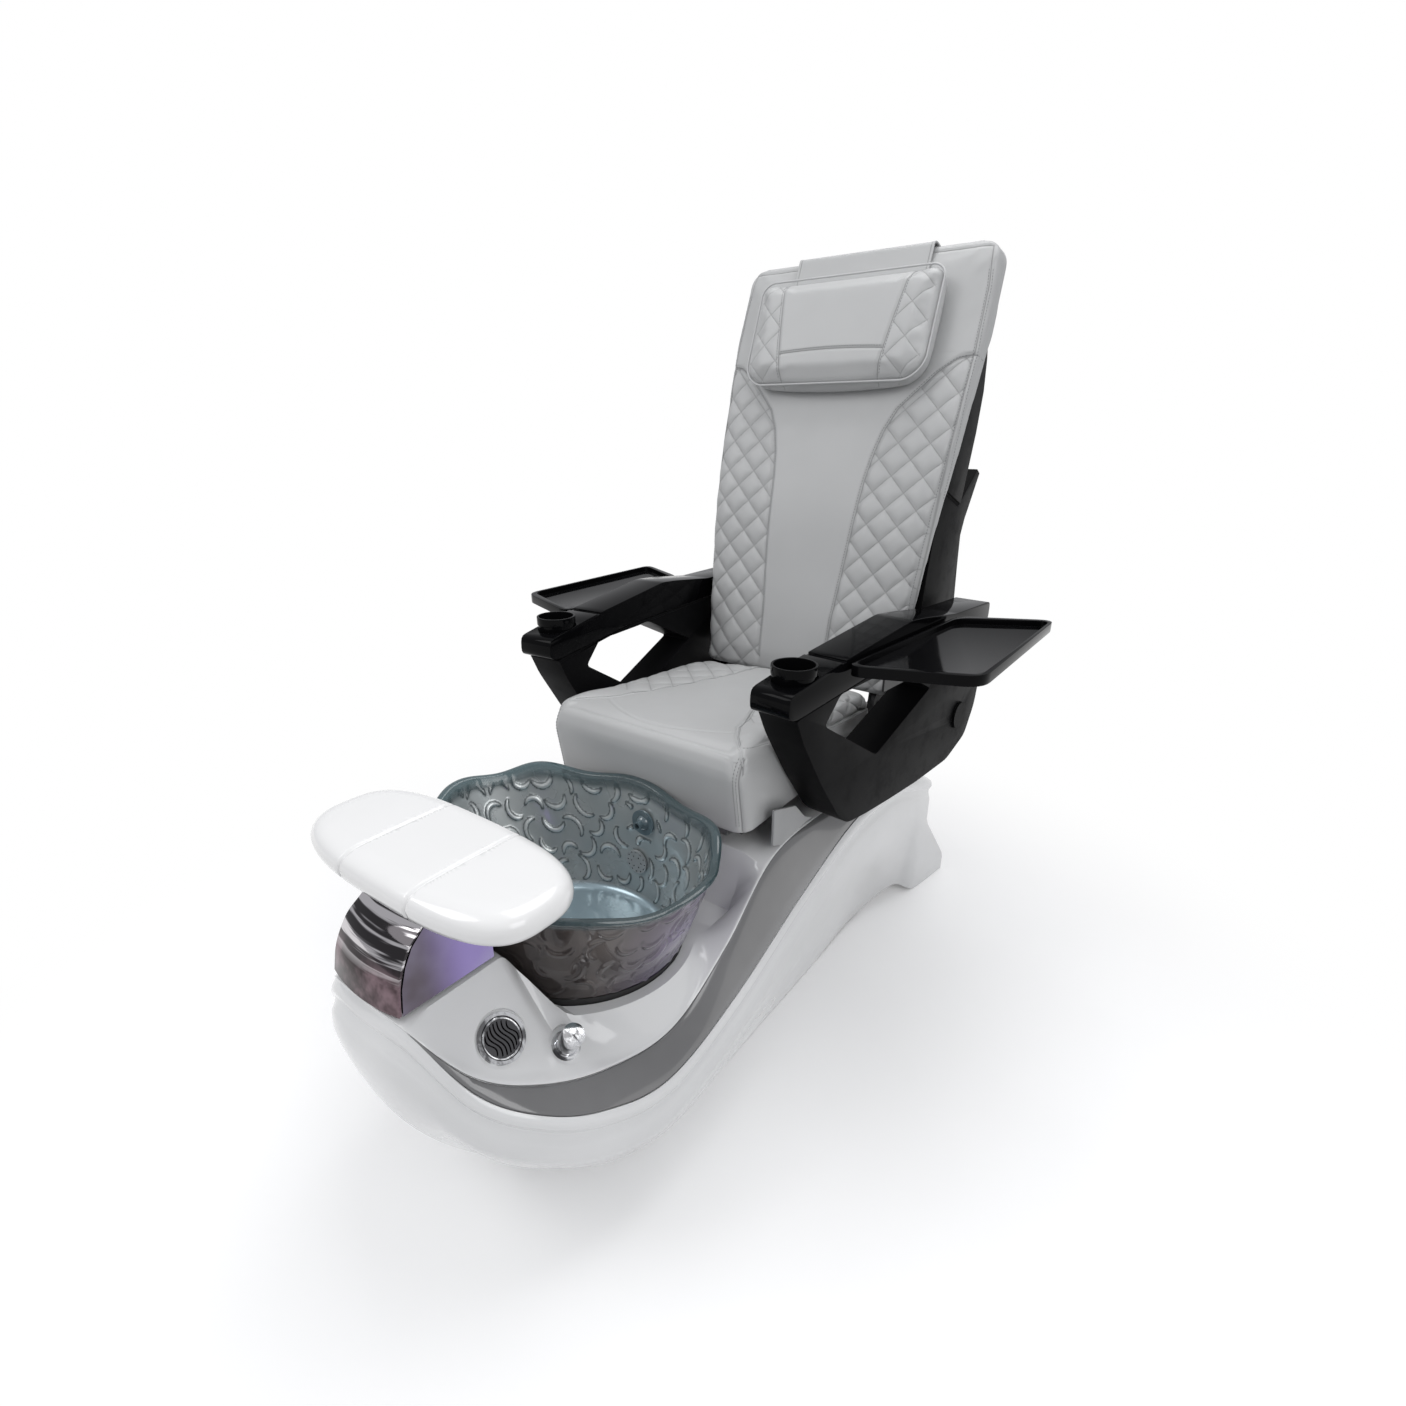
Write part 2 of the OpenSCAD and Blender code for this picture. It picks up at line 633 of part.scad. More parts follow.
// One S-shaped slot across the face, at the height y
module wave_slot(y, half) {
    loft([for (i = [0 : 12])
        let (x = -half + 2 * half * i / 12, dy = 3.2 * sin(180 * x / half))
        [[x, y + dy - 1.1, -6], [x, y + dy + 1.1, -6], [x, y + dy + 1.1, 6], [x, y + dy - 1.1, 6]]]);
}
module hand_shower() {
    pitch = 2 * (shower_r - 5) / (shower_slots + 1);
    color([0.75, 0.76, 0.78]) shower_axis() difference() {
        union() {
            translate([0, 0, -10]) cylinder(h = 12, r = shower_r - gap);
            translate([0, 0, -shower_h + 5]) cylinder(h = shower_h - 8, r = shower_r * 0.72);
        }
        for (k = [1 : shower_slots]) {
            y = -(shower_r - 5) + pitch * k;
            wave_slot(y, sqrt(pow(shower_r - 4, 2) - y * y) - 2);
        }
    }
}
module supply_hoses() {
    color([0.6, 0.6, 0.62]) for (s = [-1, 1]) translate([s * 70, 0, inlet_z])
        rotate([-90, 0, 0]) translate([0, 0, tail_face_y - 60]) difference() {
            union() {
                cylinder(h = 66, r = 11);
                translate([0, 0, 22]) cylinder(h = 14, r = 15, $fn = 6);
            }
            translate([0, 0, -1]) cylinder(h = 80, r = 7);
        }
}
module power_box() {
    color([0.15, 0.15, 0.16]) translate([-60, sy(330), frame_z + tube_w + 1]) difference() {
        cube([120, 80, 60]);
        translate([46, 72, 22]) cube([28, 20, 20]);
    }
}

// ---------------------------------------------------------------- footrest

pillar_top = ridge_z + pillar_h;
pillar_foot_y = sy(-710);
// Front edge of the pillar as [y, z], from its foot to its top
pillar_edge = [for (p = [[0, 8], [6, 42], [16, 67], [29, 87], [50, 104], [62, pillar_h]])
    [pillar_foot_y + p[0], ridge_z + p[1]]];
function pillar_x(z) = pillar_half_w - 0.1 * (z - ridge_z);

module pillar_front() {
    bow = 9;
    across = 8;
    function strip(p, t) = [for (i = [0 : across])
        let (f = -1 + 2 * i / across, x = (pillar_x(p[1]) - 1) * f)
        [x, p[0] - bow * (1 - f * f) + t, p[1]]];
    color([0.75, 0.76, 0.8]) loft([for (p = pillar_edge)
        concat(strip(p, 0), [for (i = [across : -1 : 0]) strip(p, 3.5)[i]])]);
}
// Flat mirror plate on one side of the pillar
module pillar_side(s) {
    rear = sy(-568);
    outline = concat([for (p = pillar_edge) [p[0] + 5, p[1]]],
        [[rear + 8, pillar_top], [rear, ridge_z + 6]]);
    n = len(outline);
    outer = [for (p = outline) [pillar_x(p[1]), p[0], p[1]]];
    inner = [for (p = outline) [pillar_x(p[1]) - 3, p[0], p[1]]];
    color([0.75, 0.72, 0.85]) side(s) loft([outer, inner]);
}
post_y = sy(-630);
module pillar_core() {
    half = pillar_half_w - 20;
    color("white") difference() {
        slab([[post_y - 44, ridge_z - 60], [post_y + 52, ridge_z - 60], [post_y + 52, pillar_top - 4],
            [pillar_foot_y + 74, pillar_top - 4], [pillar_foot_y + 57, ridge_z + 100],
            [post_y - 44, ridge_z + 80]], -half, half);
        translate([0, post_y, ridge_z - 80])
            linear_extrude(300) square([post_w + 2 * gap, post_d + 2 * gap], center = true);
    }
}
module column_hole() {
    half = pillar_half_w - 20 + gap;
    translate([-half, post_y - 44 - gap, ridge_z - 90]) cube([2 * half, 96 + 2 * gap, 200]);
}
pad_z = pillar_top + 5;
module footrest_post() {
    color([0.7, 0.7, 0.72]) difference() {
        translate([0, post_y, pad_z - post_l])
            linear_extrude(post_l) square([post_w, post_d], center = true);
        translate([0, post_y, pad_z - post_l - 1])
            linear_extrude(post_l - 10) square([post_w - 8, post_d - 8], center = true);
    }
}
pad_y = sy(-588);
// Ring of the pad at the height z above its underside, drawn in by d
function pad_ring(z, d, lean = 0) =
    [for (k = [0 : 55])
        let (p = superellipse(pad_half_w - d, pad_w / 2 - d, 3, 360 * k / 56))
        [p[0], pad_y + p[1] + lean, pad_z + z]];
module footrest_pad() {
    t = pad_t;
    inset = 3;
    color("white") difference() {
        loft([pad_ring(0, 22), pad_ring(3, 9), pad_ring(10, 2), pad_ring(22, 0),
            pad_ring(t - 18, 1), pad_ring(t - 8, 6, 1), pad_ring(t - 2.5, 14, 3), pad_ring(t, 26, 5)]);
        for (s = [-1, 1]) translate([s * pad_groove_x - 2.5, 0, 0]) difference() {
            translate([0, pad_y - pad_w, pad_z + 8]) cube([5, 2 * pad_w, pad_t]);
            slab([[pad_y - pad_w / 2 + inset, pad_z - 1], [pad_y - pad_w / 2 + inset, pad_z + t - 20],
                [pad_y - pad_w / 2 + 12, pad_z + t - 8], [pad_y - pad_w / 2 + 30, pad_z + t - inset],
                [pad_y + pad_w / 2 - 20, pad_z + t - inset], [pad_y + pad_w / 2 - 8, pad_z + t - 10],
                [pad_y + pad_w / 2 - inset, pad_z + t - 20], [pad_y + pad_w / 2 - inset, pad_z - 1]],
                -1, 7);
        }
    }
}

// ---------------------------------------------------------------- seat

seat_y0 = -tub_y + tub_b + 4 + seat_gap;
seat_y1 = seat_y0 + seat_len;
rail_z = platform_z + 4;
beam_z = rail_z + rail_h + gap;
pan_z = beam_z + beam_h;
seat_z = pan_z + pan_t;
// The rear group hangs on these: how far its front and floor lie from the origin
group_y = seat_y1 + back_gap - 350;
group_z = platform_z - 455;
module group() {
    translate([0, group_y, group_z]) children();
}

module slide_rails() {
    color([0.6, 0.6, 0.62]) for (s = [-1, 1])
        translate([s * rail_x - rail_w / 2, seat_y0 + 50, rail_z - 1]) {
            cube([rail_w, rail_l, rail_h + 1]);
            translate([rail_w / 2 - 3, 0, 0]) cube([6, rail_l, rail_h]);
        }
}

upright_x = 192;
upright_t = 8;
hinge_y = 420;
hinge_z = 550;
pivot_y = 490;
pivot_z = 545;
module seat_carriage() {
    lip = 5;
    ends = [seat_y0 + 90, seat_y1 - 70];
    color([0.2, 0.2, 0.2]) difference() {
        union() {
            for (s = [-1, 1]) {
                translate([s * rail_x - rail_w / 2 - lip, ends[0], beam_z])
                    cube([rail_w + 2 * lip, group_y + 420 - ends[0], beam_h]);
                for (y = ends, e = [-1, 1])
                    translate([s * rail_x + e * (rail_w / 2 + gap + lip / 2) - lip / 2, y, rail_z + 2])
                        cube([lip, 60, rail_h + beam_h / 2]);
            }
            for (y = [ends[0], (ends[0] + ends[1]) / 2, ends[1]])
                translate([-rail_x, y, beam_z]) cube([2 * rail_x, 30, beam_h]);
            group() {
                translate([-upright_x - upright_t, 396, beam_z - group_z])
                    cube([2 * upright_x + 2 * upright_t, 24, 16]);
                for (s = [-1, 1]) side(s) slab(rounded([[390, beam_z - group_z], [530, beam_z - group_z],
                    [530, 575], [500, 592], [405, 592], [390, 575]], 12), upright_x, upright_x + upright_t);
            }
        }
        group() translate([-400, hinge_y, hinge_z]) rotate([0, 90, 0])
            cylinder(h = 800, r = recline_pin_r + fit);
        group() for (s = [-1, 1]) side(s) arm_frame()
            translate([-170, pivot_y, pivot_z]) rotate([0, 90, 0]) cylinder(h = 170, r = arm_pin_r + fit);
    }
}
module seat_pan() {
    half = min(205, seat_half_w - 12);
    color([0.25, 0.22, 0.2]) translate([-half, seat_y0 + 14, pan_z])
        cube([2 * half, seat_len - 40, pan_t - gap]);
}

// Outline of a rectangle with round corners; every size has the same count of points
function round_rect(w, l, r, arc = 4, side = 9) =
    [for (k = [0 : 3])
        let (sx = k == 0 || k == 3 ? 1 : -1, sy = k < 2 ? 1 : -1,
             m = [sx * (w - r), sy * (l - r)],
             next = k == 0 ? [r - w, l] : k == 1 ? [-w, r - l] : k == 2 ? [w - r, -l] : [w, l - r])
        each concat(
            [for (i = [0 : arc]) m + r * [cos(90 * (k + i / arc)), sin(90 * (k + i / arc))]],
            let (last = m + r * [cos(90 * (k + 1)), sin(90 * (k + 1))])
            [for (i = [1 : side]) last + (next - last) * i / (side + 1)])];

// Half width of the seat's plain middle panel, v behind the seat's front
function panel_x(v) =
    seat_half_w / 222 * table([[0, 214], [24, 188], [60, 158], [100, 137], [150, 124], [185, 110],
        [233, 94], [284, 81], [337, 66], [392, 52], [505, 44]], v);
// Height of the seat's skin; a bolster rises outside the middle panel towards the front
function seat_crown(x, y) =
    let (v = y - seat_y0,
         bolster = table([[60, 9], [165, 4], [265, 0], [400, -2], [480, -12]], v))
    seat_z + seat_t - 0.044 * v + bolster * ramp(abs(x), panel_x(v), seat_half_w - 32);

// Ring of the seat, drawn in by d. With above = true it lies the height z above the
// seat's floor, or else the depth z under the crown.
seat_mid = seat_y0 + seat_len / 2;
function seat_ring(d, z, above, quilt = 0) =
    [for (p = round_rect(seat_half_w - d, seat_len / 2 - d, 26 - min(0, d)))
        let (front = ramp(-p[1], seat_len / 2 - 60, seat_len / 2 - 20),
             y = seat_mid + p[1] + max(0, d) * 0.7 * front,
             h = above ? seat_z + z : seat_crown(p[0], y) - z * (1 + 0.6 * front),
             puff = abs(p[0]) > panel_x(y - seat_y0) + 8 && abs(p[0]) < seat_half_w - 12
                 && round(y / 24 + p[0] / 24) % 2 == 0 ? quilt : 0)
        [p[0], y - seat_bulge * front * ramp(h - seat_z, 44, 84), h - puff]];
module seat_cushion() {
    edge = seat_ring(26, 0, false);
    rings = concat(
        [seat_ring(12, 2, true), seat_ring(4, 9, true), seat_ring(1, 24, true), seat_ring(-1, 62, true),
         seat_ring(-1, 30, false), seat_ring(2, 15, false), seat_ring(10, 5, false), edge],
        [for (d = [40, 56, 76, 110, 150, 190]) seat_ring(d, 0, false, 4)]);
    color([0.72, 0.73, 0.74]) loft(rings);
}

// Side plate below each arm, clear of the cushion and level with the arm's foot
module seat_skirt(s) {
    x = max(shell_half_w - 41, seat_half_w + 17);
    y = group_y;
    color([0.7, 0.7, 0.71]) side(s) difference() {
        slab([[y - 110, platform_z + 14], [y - 110, platform_z + 82], [y - 35, platform_z + 58],
            [y + 2, platform_z + 20], [y + 32, platform_z + 4], [y + 97, platform_z - 6],
            [y + 137, platform_z - 20], [y - 13, platform_z - 28]], x, x + 4);
        hull_solid(-3, 2);
    }
}

// ---------------------------------------------------------------- backrest

// Front of the backrest cushion as [y, z] in the rear group, from the seat up
back_curve = [[350, 596], [368, 700], [389, 806], [427, 975], [501, 1194], [560, 1352], [614, 1494]];
back_spans = len(back_curve) - 1;
function back_at(f, t) =
    let (u = f * back_spans, p = along(back_curve, u),
         d = unit(along(back_curve, min(back_spans, u + 0.02)) - along(back_curve, max(0, u - 0.02))))
    p + t * [d[1], -d[0]];
// Half width of the cushion, and of its plain middle panel
function back_w(z) =
    back_low_w + (back_top_w - back_low_w)
    * table([[640, 0], [732, 0.18], [915, 0.45], [1098, 0.75], [1327, 1], [1473, 0.95]], z);
function seam_w(z) =
    table([[640, 85], [860, 88], [951, 94], [1015, 102], [1074, 114], [1130, 127],
        [1180, 150], [1220, 185], [1259, 240], [1281, 286]], z);

back_cols = 24;
function back_ring(i, n) =
    let (f = i / n, z = back_at(f, 0)[1], e = max(0, 1 - f * 14), h = max(0, 1 - (1 - f) * 16),
         w = back_w(z) - 14 * e * e - 16 * h * h, in = 16 * e * e + 14 * h * h,
         step = 2 * w / back_cols)
    concat(
        [for (k = [0 : back_cols])
            let (g = -1 + 2 * k / back_cols, a = abs(g), x = w * g,
                 quilted = abs(x) > seam_w(z) + 8 && z < 1290 && a < 0.97,
                 seam = z < 1290 && abs(abs(x) - seam_w(z)) < step / 2,
                 low = seam ? 4 : quilted && (i + k) % 2 == 0 ? 5 : 0,
                 t = in + 2 + low + 10 * pow(a, 6),
                 p = back_at(f, t))
            [x, p[0], p[1]]],
        [for (q = [[3, 0.5], [-4, 0.86], [-30, 1], [0, 1]])
            let (p = back_at(f, in * (1 - 2 * q[1]) + back_t * q[1])) [w + q[0] - (q[0] == 0 ? w : 0), p[0], p[1]]],
        [for (q = [[30, 1], [4, 0.86], [-3, 0.5]])
            let (p = back_at(f, in * (1 - 2 * q[1]) + back_t * q[1])) [-w + q[0], p[0], p[1]]]);
module back_cushion() {
    n = 38;
    color([0.72, 0.73, 0.74]) group() loft([for (i = [0 : n]) back_ring(i, n)]);
}

// Side outline of a piece that follows the back between two offsets
function back_strip(f0, f1, t0, t1, n = 10) = concat(
    [for (i = [0 : n]) back_at(f0 + (f1 - f0) * i / n, t0)],
    [for (i = [n : -1 : 0]) back_at(f0 + (f1 - f0) * i / n, t1)]);

frame_t0 = back_t + 3;
module back_frame() {
    color([0.15, 0.15, 0.15]) group() difference() {
        union() {
            for (s = [-1, 1]) side(s) {
                slab(back_strip(0.03, 0.81, frame_t0, frame_t0 + 24), upright_x - 16, upright_x - 2);
                slab(rounded([[405, 530], [440, 530], [452, 640], [425, 650]], 8),
                    upright_x - 16, upright_x - 2);
            }
            for (f = [0.12, 0.79]) translate([-upright_x + 4, back_at(f, frame_t0 + 12)[0],
                back_at(f, frame_t0 + 12)[1]]) rotate([0, 90, 0]) cylinder(h = 2 * upright_x - 8, r = 9);
        }
        translate([-400, hinge_y, hinge_z]) rotate([0, 90, 0]) cylinder(h = 800, r = recline_pin_r + fit);
    }
}
module recline_pins() {
    color([0.7, 0.7, 0.7]) group() for (s = [-1, 1]) side(s)
        translate([upright_x - 20, hinge_y, hinge_z]) rotate([0, 90, 0]) {
            cylinder(h = upright_t + 22, r = recline_pin_r);
            translate([0, 0, upright_t + 20.6]) cylinder(h = 4, r = recline_pin_r + 5);
        }
}
// Offset of the rear shells' outer face from the front of the cushion
shell_seam = 0.545;
function rear_outline(d) = concat(
    [for (f = [shell_seam + 0.004 : 0.05 : 0.87]) back_at(f, frame_t0 - 1 + d)],
    [back_at(0.885, frame_t0 + 3 + d / 2), back_at(0.86, frame_t0 + 30 - d),
     back_at(0.80, frame_t0 + 72 - d), back_at(0.74, frame_t0 + 98 - d),
     back_at(0.66, 175 - d), back_at(shell_seam + 0.004, 176 - d)]);
module back_shell_upper() {
    color([0.08, 0.08, 0.08]) group() difference() {
        slab(rear_outline(0), -rear_half_w - 6, rear_half_w + 6);
        slab([for (p = rear_outline(0)) p + [0, -rear_t]], -rear_half_w - 6 + rear_t,
            rear_half_w + 6 - rear_t);
        slab(back_strip(0.5, 0.83, 20, frame_t0 + 36), -upright_x - 3, upright_x + 3);
    }
}
function lower_outline() = concat(
    [for (f = [0.07 : 0.075 : shell_seam]) back_at(f, frame_t0 - 1)],
    [back_at(shell_seam, frame_t0 - 1), back_at(shell_seam, 180)],
    [[728, 1050], [748, 1040], [700, 975], [677, 945], [660, 909], [664, 840], [672, 758],
     [664, 680], [620, 610], [540, 604]]);
module back_shell_lower() {
    o = lower_outline();
    c = [565, 830];
    inner = [for (p = o) p + unit(c - p) * rear_t * 1.6];
    color([0.06, 0.06, 0.06]) group() difference() {
        slab(o, -rear_half_w, rear_half_w);
        slab(inner, -rear_half_w + rear_t, rear_half_w - rear_t);
        slab(back_strip(0.01, 0.57, 20, frame_t0 + 86), -upright_x - 3, upright_x + 3);
        translate([-upright_x - upright_t - 4, 380, 560])
            cube([2 * (upright_x + upright_t + 4), 165, 82]);
    }
}

// Straight track of the massage carriage, in the rear group
track_a = back_at(0.42, frame_t0 + 36);
track_b = back_at(0.82, frame_t0 + 32);
track_lean = atan2(track_b[0] - track_a[0], track_b[1] - track_a[1]);
track_l = norm(track_b - track_a);
module track() {
    group() translate([0, track_a[0], track_a[1]]) rotate([-track_lean, 0, 0]) children();
}
track_x = 120;
module massage_rails() {
    color([0.6, 0.6, 0.6]) track() for (s = [-1, 1])
        translate([s * track_x - 6, -6, 0]) cube([12, 12, track_l]);
}
carriage_h = 90;
roller_x = 50;
module massage_carriage() {
    color([0.3, 0.3, 0.32]) track() translate([0, 0, 12]) difference() {
        union() {
            translate([-track_x - 12, 6.5, 0]) cube([2 * track_x + 24, 18, carriage_h]);
            for (s = [-1, 1], e = [-1, 1])
                translate([s * track_x + e * (6 + gap + 2.5) - 2.5, -6, 0]) cube([5, 20, carriage_h]);
            translate([-roller_x - roller_w, -2, carriage_h / 2]) rotate([0, 90, 0])
                cylinder(h = 2 * (roller_x + roller_w), r = 6);
            for (s = [-1, 1], e = [-1, 1])
                translate([s * roller_x + e * (roller_w / 2 + 5) - 3, -8, carriage_h / 2 - 8]) cube([6, 20, 16]);
        }
        for (s = [-1, 1])
            translate([s * roller_x - roller_w / 2 - 1, -2 - roller_r - 4, carriage_h / 2 - roller_r - 3])
                cube([roller_w + 2, 2 * roller_r + 8, 2 * roller_r + 6]);
    }
    color([0.7, 0.7, 0.7]) track() translate([-roller_x - roller_w, -2, 12 + carriage_h / 2])
        rotate([0, 90, 0]) cylinder(h = 2 * (roller_x + roller_w), r = 5);
}
module massage_roller(s) {
    color([0.85, 0.75, 0.6]) track() translate([s * roller_x - roller_w / 2, -2, 12 + carriage_h / 2])
        rotate([0, 90, 0]) difference() {
            cylinder(h = roller_w, r = roller_r);
            translate([0, 0, -1]) cylinder(h = roller_w + 2, r = 5 + fit);
        }
}

// Pillow: rings stand across the chair and climb the front of the backrest
pillow_f0 = 0.68;
pillow_f1 = 0.925;
function pillow_ring(i, n) =
    let (f = i / n, e = pow(abs(2 * f - 1), 6), g0 = pillow_f0 + (pillow_f1 - pillow_f0) * f,
         w = pillow_half_w * (1 - 0.035 * e), t = pillow_t * (1 - 0.72 * e), mid = -pillow_t / 2 - 4)
    [for (k = [0 : 27])
        let (q = 360 * k / 28, p = superellipse(w, t / 2, 4.5, q),
             seam = abs(abs(p[0]) - (112 + 34 * f)) < 9 && p[1] < 0 ? 3 : 0,
             v = back_at(g0, mid + p[1] + seam))
        [p[0], v[0], v[1]]];
module head_pillow() {
    n = 18;
    color([0.74, 0.75, 0.76]) group() loft([for (i = [0 : n]) pillow_ring(i, n)]);
}
// Strap from the pillow over the top of the backrest and a little way down its rear
module pillow_strap() {
    n = 6;
    f0 = pillow_f1 - 0.004;
    function front(t) = [for (i = [0 : n]) back_at(f0 + (1 - f0) * i / n, -t)];
    function over(t) = [for (q = [30 : 30 : 150])
        back_at(1, back_t / 2 - (back_t / 2 + t) * cos(q)) + [0, (10 + t) * sin(q)]];
    function rear(t) = [for (f = [1, 0.985, 0.97, 0.95]) back_at(f, back_t + t)];
    function line(t) = concat(front(t), over(t), rear(t));
    inner = line(1);
    color([0.72, 0.73, 0.74]) group()
        slab(concat(line(3), [for (i = [len(inner) - 1 : -1 : 0]) inner[i]]), -strap_half_w, strap_half_w);
}

// ---------------------------------------------------------------- arms

arm_x = max(seat_half_w + 88.5, rear_half_w + 48.5);
// Frame of the left arm: x runs out from its outer face, y back along the arm
module arm_frame() {
    translate([arm_x, 0, 0]) rotate([0, 0, -arm_splay]) children();
}
arm_outline = [[-144, 717], [-128, 682], [-68, 588], [-1, 498], [30, 472], [99, 463], [187, 456],
    [309, 449], [456, 449], [544, 481], [580, 545], [592, 618], [594, 739], [372, 741], [77, 741],
    [-148, 723]];
arm_opening = [[-66, 690], [-22, 733], [153, 734], [326, 652], [118, 577]];
module arm_panel(s) {
    color([0.09, 0.09, 0.09]) group() side(s) arm_frame() difference() {
        slab(rounded(arm_outline, 16, 3), -arm_t, 0);
        slab(rounded(arm_opening, 10, 3), -arm_t - 1, 1);
        translate([-arm_t - 1, pivot_y, pivot_z]) rotate([0, 90, 0])
            cylinder(h = arm_t + 2, r = arm_pin_r + fit);
    }
}
cap_outline = [[-170, 731], [-150, 724.4], [77, 742.4], [372, 742.4], [594, 740.4], [594, 782],
    [417, 787], [270, 806], [215, 811], [110, 801], [0, 790], [-60, 783], [-168, 766]];
cup_y = -106;
cup_top = 797;
module arm_cap(s) {
    color([0.05, 0.05, 0.05]) group() side(s) arm_frame() difference() {
        slab(rounded(cap_outline, 12, 3), -arm_t, 0);
        translate([-arm_t / 2, cup_y, 600]) cylinder(h = 400, r = cup_r + 2.5 + gap);
        translate([-arm_t - 1, -24, 785]) cube([arm_t + 2, 12, 40]);
    }
}
module cup_holder(s) {
    color([0.05, 0.05, 0.05]) group() side(s) arm_frame()
        translate([-arm_t / 2, cup_y, cup_top]) difference() {
            union() {
                translate([0, 0, -cup_depth - 3]) cylinder(h = cup_depth + 3, r = cup_r + 2.5);
                translate([0, 0, -15]) cylinder(h = 15, r = cup_r + 4);
            }
            translate([0, 0, -cup_depth]) cylinder(h = cup_depth + 1, r = cup_r);
        }
}
module arm_pivot(s) {
    color([0.12, 0.12, 0.12]) group() side(s) arm_frame()
        translate([0, pivot_y, pivot_z]) rotate([0, 90, 0]) {
            translate([0, 0, -arm_t - 62]) cylinder(h = arm_t + 64, r = arm_pin_r);
            translate([0, 0, gap]) cylinder(h = 5, r = pivot_cap_r);
        }
}

tray_hinge = [knuckle_r + 6.5, 761.5];
module tray_bracket(s) {
    color([0.2, 0.2, 0.2]) group() side(s) arm_frame() {
        translate([gap, 118, 700]) cube([4, 144, 54]);
        for (y = [120, 180, 240]) {
            translate([gap + 2, y, tray_hinge[1] - 12]) cube([tray_hinge[0] - gap, 20, 12]);
            translate([tray_hinge[0], y, tray_hinge[1]]) rotate([-90, 0, 0]) cylinder(h = 20, r = knuckle_r);
        }
        translate([tray_hinge[0], 120, tray_hinge[1]]) rotate([-90, 0, 0]) cylinder(h = 140, r = tray_pin_r);
    }
}
tray_corners = [[knuckle_r + 1, -30], [tray_w + 5, 60], [tray_w - 27, 500], [knuckle_r + 1, 403]];
module tray(s) {
    z0 = tray_hinge[1] + knuckle_r;
    c = [80, 230];
    inner = [for (p = tray_corners) p + unit(c - p) * 16];
    color([0.04, 0.04, 0.04]) group() side(s) arm_frame() {
        difference() {
            translate([0, 0, z0]) linear_extrude(tray_t) polygon(rounded(tray_corners, 34, 6));
            translate([0, 0, z0 + 6]) linear_extrude(tray_t) polygon(rounded(inner, 26, 6));
        }
        for (y = [140.5, 200.5]) difference() {
            union() {
                translate([tray_hinge[0], y, tray_hinge[1]]) rotate([-90, 0, 0])
                    cylinder(h = 39, r = knuckle_r);
                translate([tray_hinge[0] - 4, y, tray_hinge[1]]) cube([8, 39, knuckle_r + 1]);
            }
            translate([tray_hinge[0], y - 1, tray_hinge[1]]) rotate([-90, 0, 0])
                cylinder(h = 41, r = tray_pin_r + fit);
        }
        translate([100, 40, z0 - 7]) cube([6, 30, 8]);
    }
}

// ---------------------------------------------------------------- nodes

base_shell();
accent_band(1);  // accent_band_left
accent_band(-1);  // accent_band_right
rear_panel();
panel_screws();
base_frame();
levelling_feet();
slide_rails();
tub();
tub_gasket();
jet_housing();
jet_nozzle();
suction_cover();
drain_fitting();
drain_stopper();
drain_pipe();
tub_light();
tap_escutcheon();
tap_knob();
mixer_valve();
shower_socket();
hand_shower();
supply_hoses();
power_box();
pillar_front();
pillar_side(1);  // pillar_side_left
pillar_side(-1);  // pillar_side_right
pillar_core();
footrest_post();
footrest_pad();
seat_skirt(1);  // seat_skirt_left
seat_skirt(-1);  // seat_skirt_right
seat_carriage();
seat_pan();
seat_cushion();
arm_pivot(1);  // arm_pivot_left
arm_pivot(-1);  // arm_pivot_right
back_frame();
recline_pins();
back_cushion();
back_shell_upper();
back_shell_lower();
massage_rails();
massage_carriage();
massage_roller(1);  // massage_roller_left
massage_roller(-1);  // massage_roller_right
head_pillow();
pillow_strap();
arm_panel(1);  // arm_panel_left
arm_panel(-1);  // arm_panel_right
arm_cap(1);  // arm_cap_left
arm_cap(-1);  // arm_cap_right
cup_holder(1);  // cup_holder_left
cup_holder(-1);  // cup_holder_right
tray_bracket(1);  // tray_bracket_left
tray_bracket(-1);  // tray_bracket_right
tray(1);  // tray_left
tray(-1);  // tray_right
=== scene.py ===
# %% [markdown]
# # A pedicure spa chair
# A moulded white base carries a resin foot tub, a massage chair on slide rails,
# two arms with trays, and a footrest on a column. The exact working parts come
# from the imported CAD model. This lesson dresses them: it builds the flowing
# shell, the relief of the tub and the sewn cushions, and gives each part a finish.
# The first cell loads the CAD frame.

# %% Load the frame
import math
from contextlib import contextmanager

import bmesh
import bpy
import numpy as np
from mathutils import Matrix, Vector
from mathutils.bvhtree import BVHTree


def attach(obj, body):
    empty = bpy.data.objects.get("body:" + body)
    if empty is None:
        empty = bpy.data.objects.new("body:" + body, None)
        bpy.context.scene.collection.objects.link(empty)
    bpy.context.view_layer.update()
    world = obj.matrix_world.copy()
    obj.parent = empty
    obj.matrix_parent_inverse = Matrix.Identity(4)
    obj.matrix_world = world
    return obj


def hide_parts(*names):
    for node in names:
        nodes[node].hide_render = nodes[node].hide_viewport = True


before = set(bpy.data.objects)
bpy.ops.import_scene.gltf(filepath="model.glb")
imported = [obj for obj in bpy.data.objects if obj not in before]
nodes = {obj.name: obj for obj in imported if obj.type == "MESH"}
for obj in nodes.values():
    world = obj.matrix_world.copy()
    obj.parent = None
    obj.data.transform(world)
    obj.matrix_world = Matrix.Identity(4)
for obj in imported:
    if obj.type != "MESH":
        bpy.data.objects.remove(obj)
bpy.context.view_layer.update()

# %% [markdown]
# ## Shader maths that reads like maths
# A finish is a small network of nodes. Wiring it by hand hides what it computes,
# so a socket is wrapped in a class whose operators add Math nodes. An expression
# such as `1 - wear * 0.4` then builds the nodes it needs. Every other node comes
# from one method that takes its type, its settings and what goes into it.

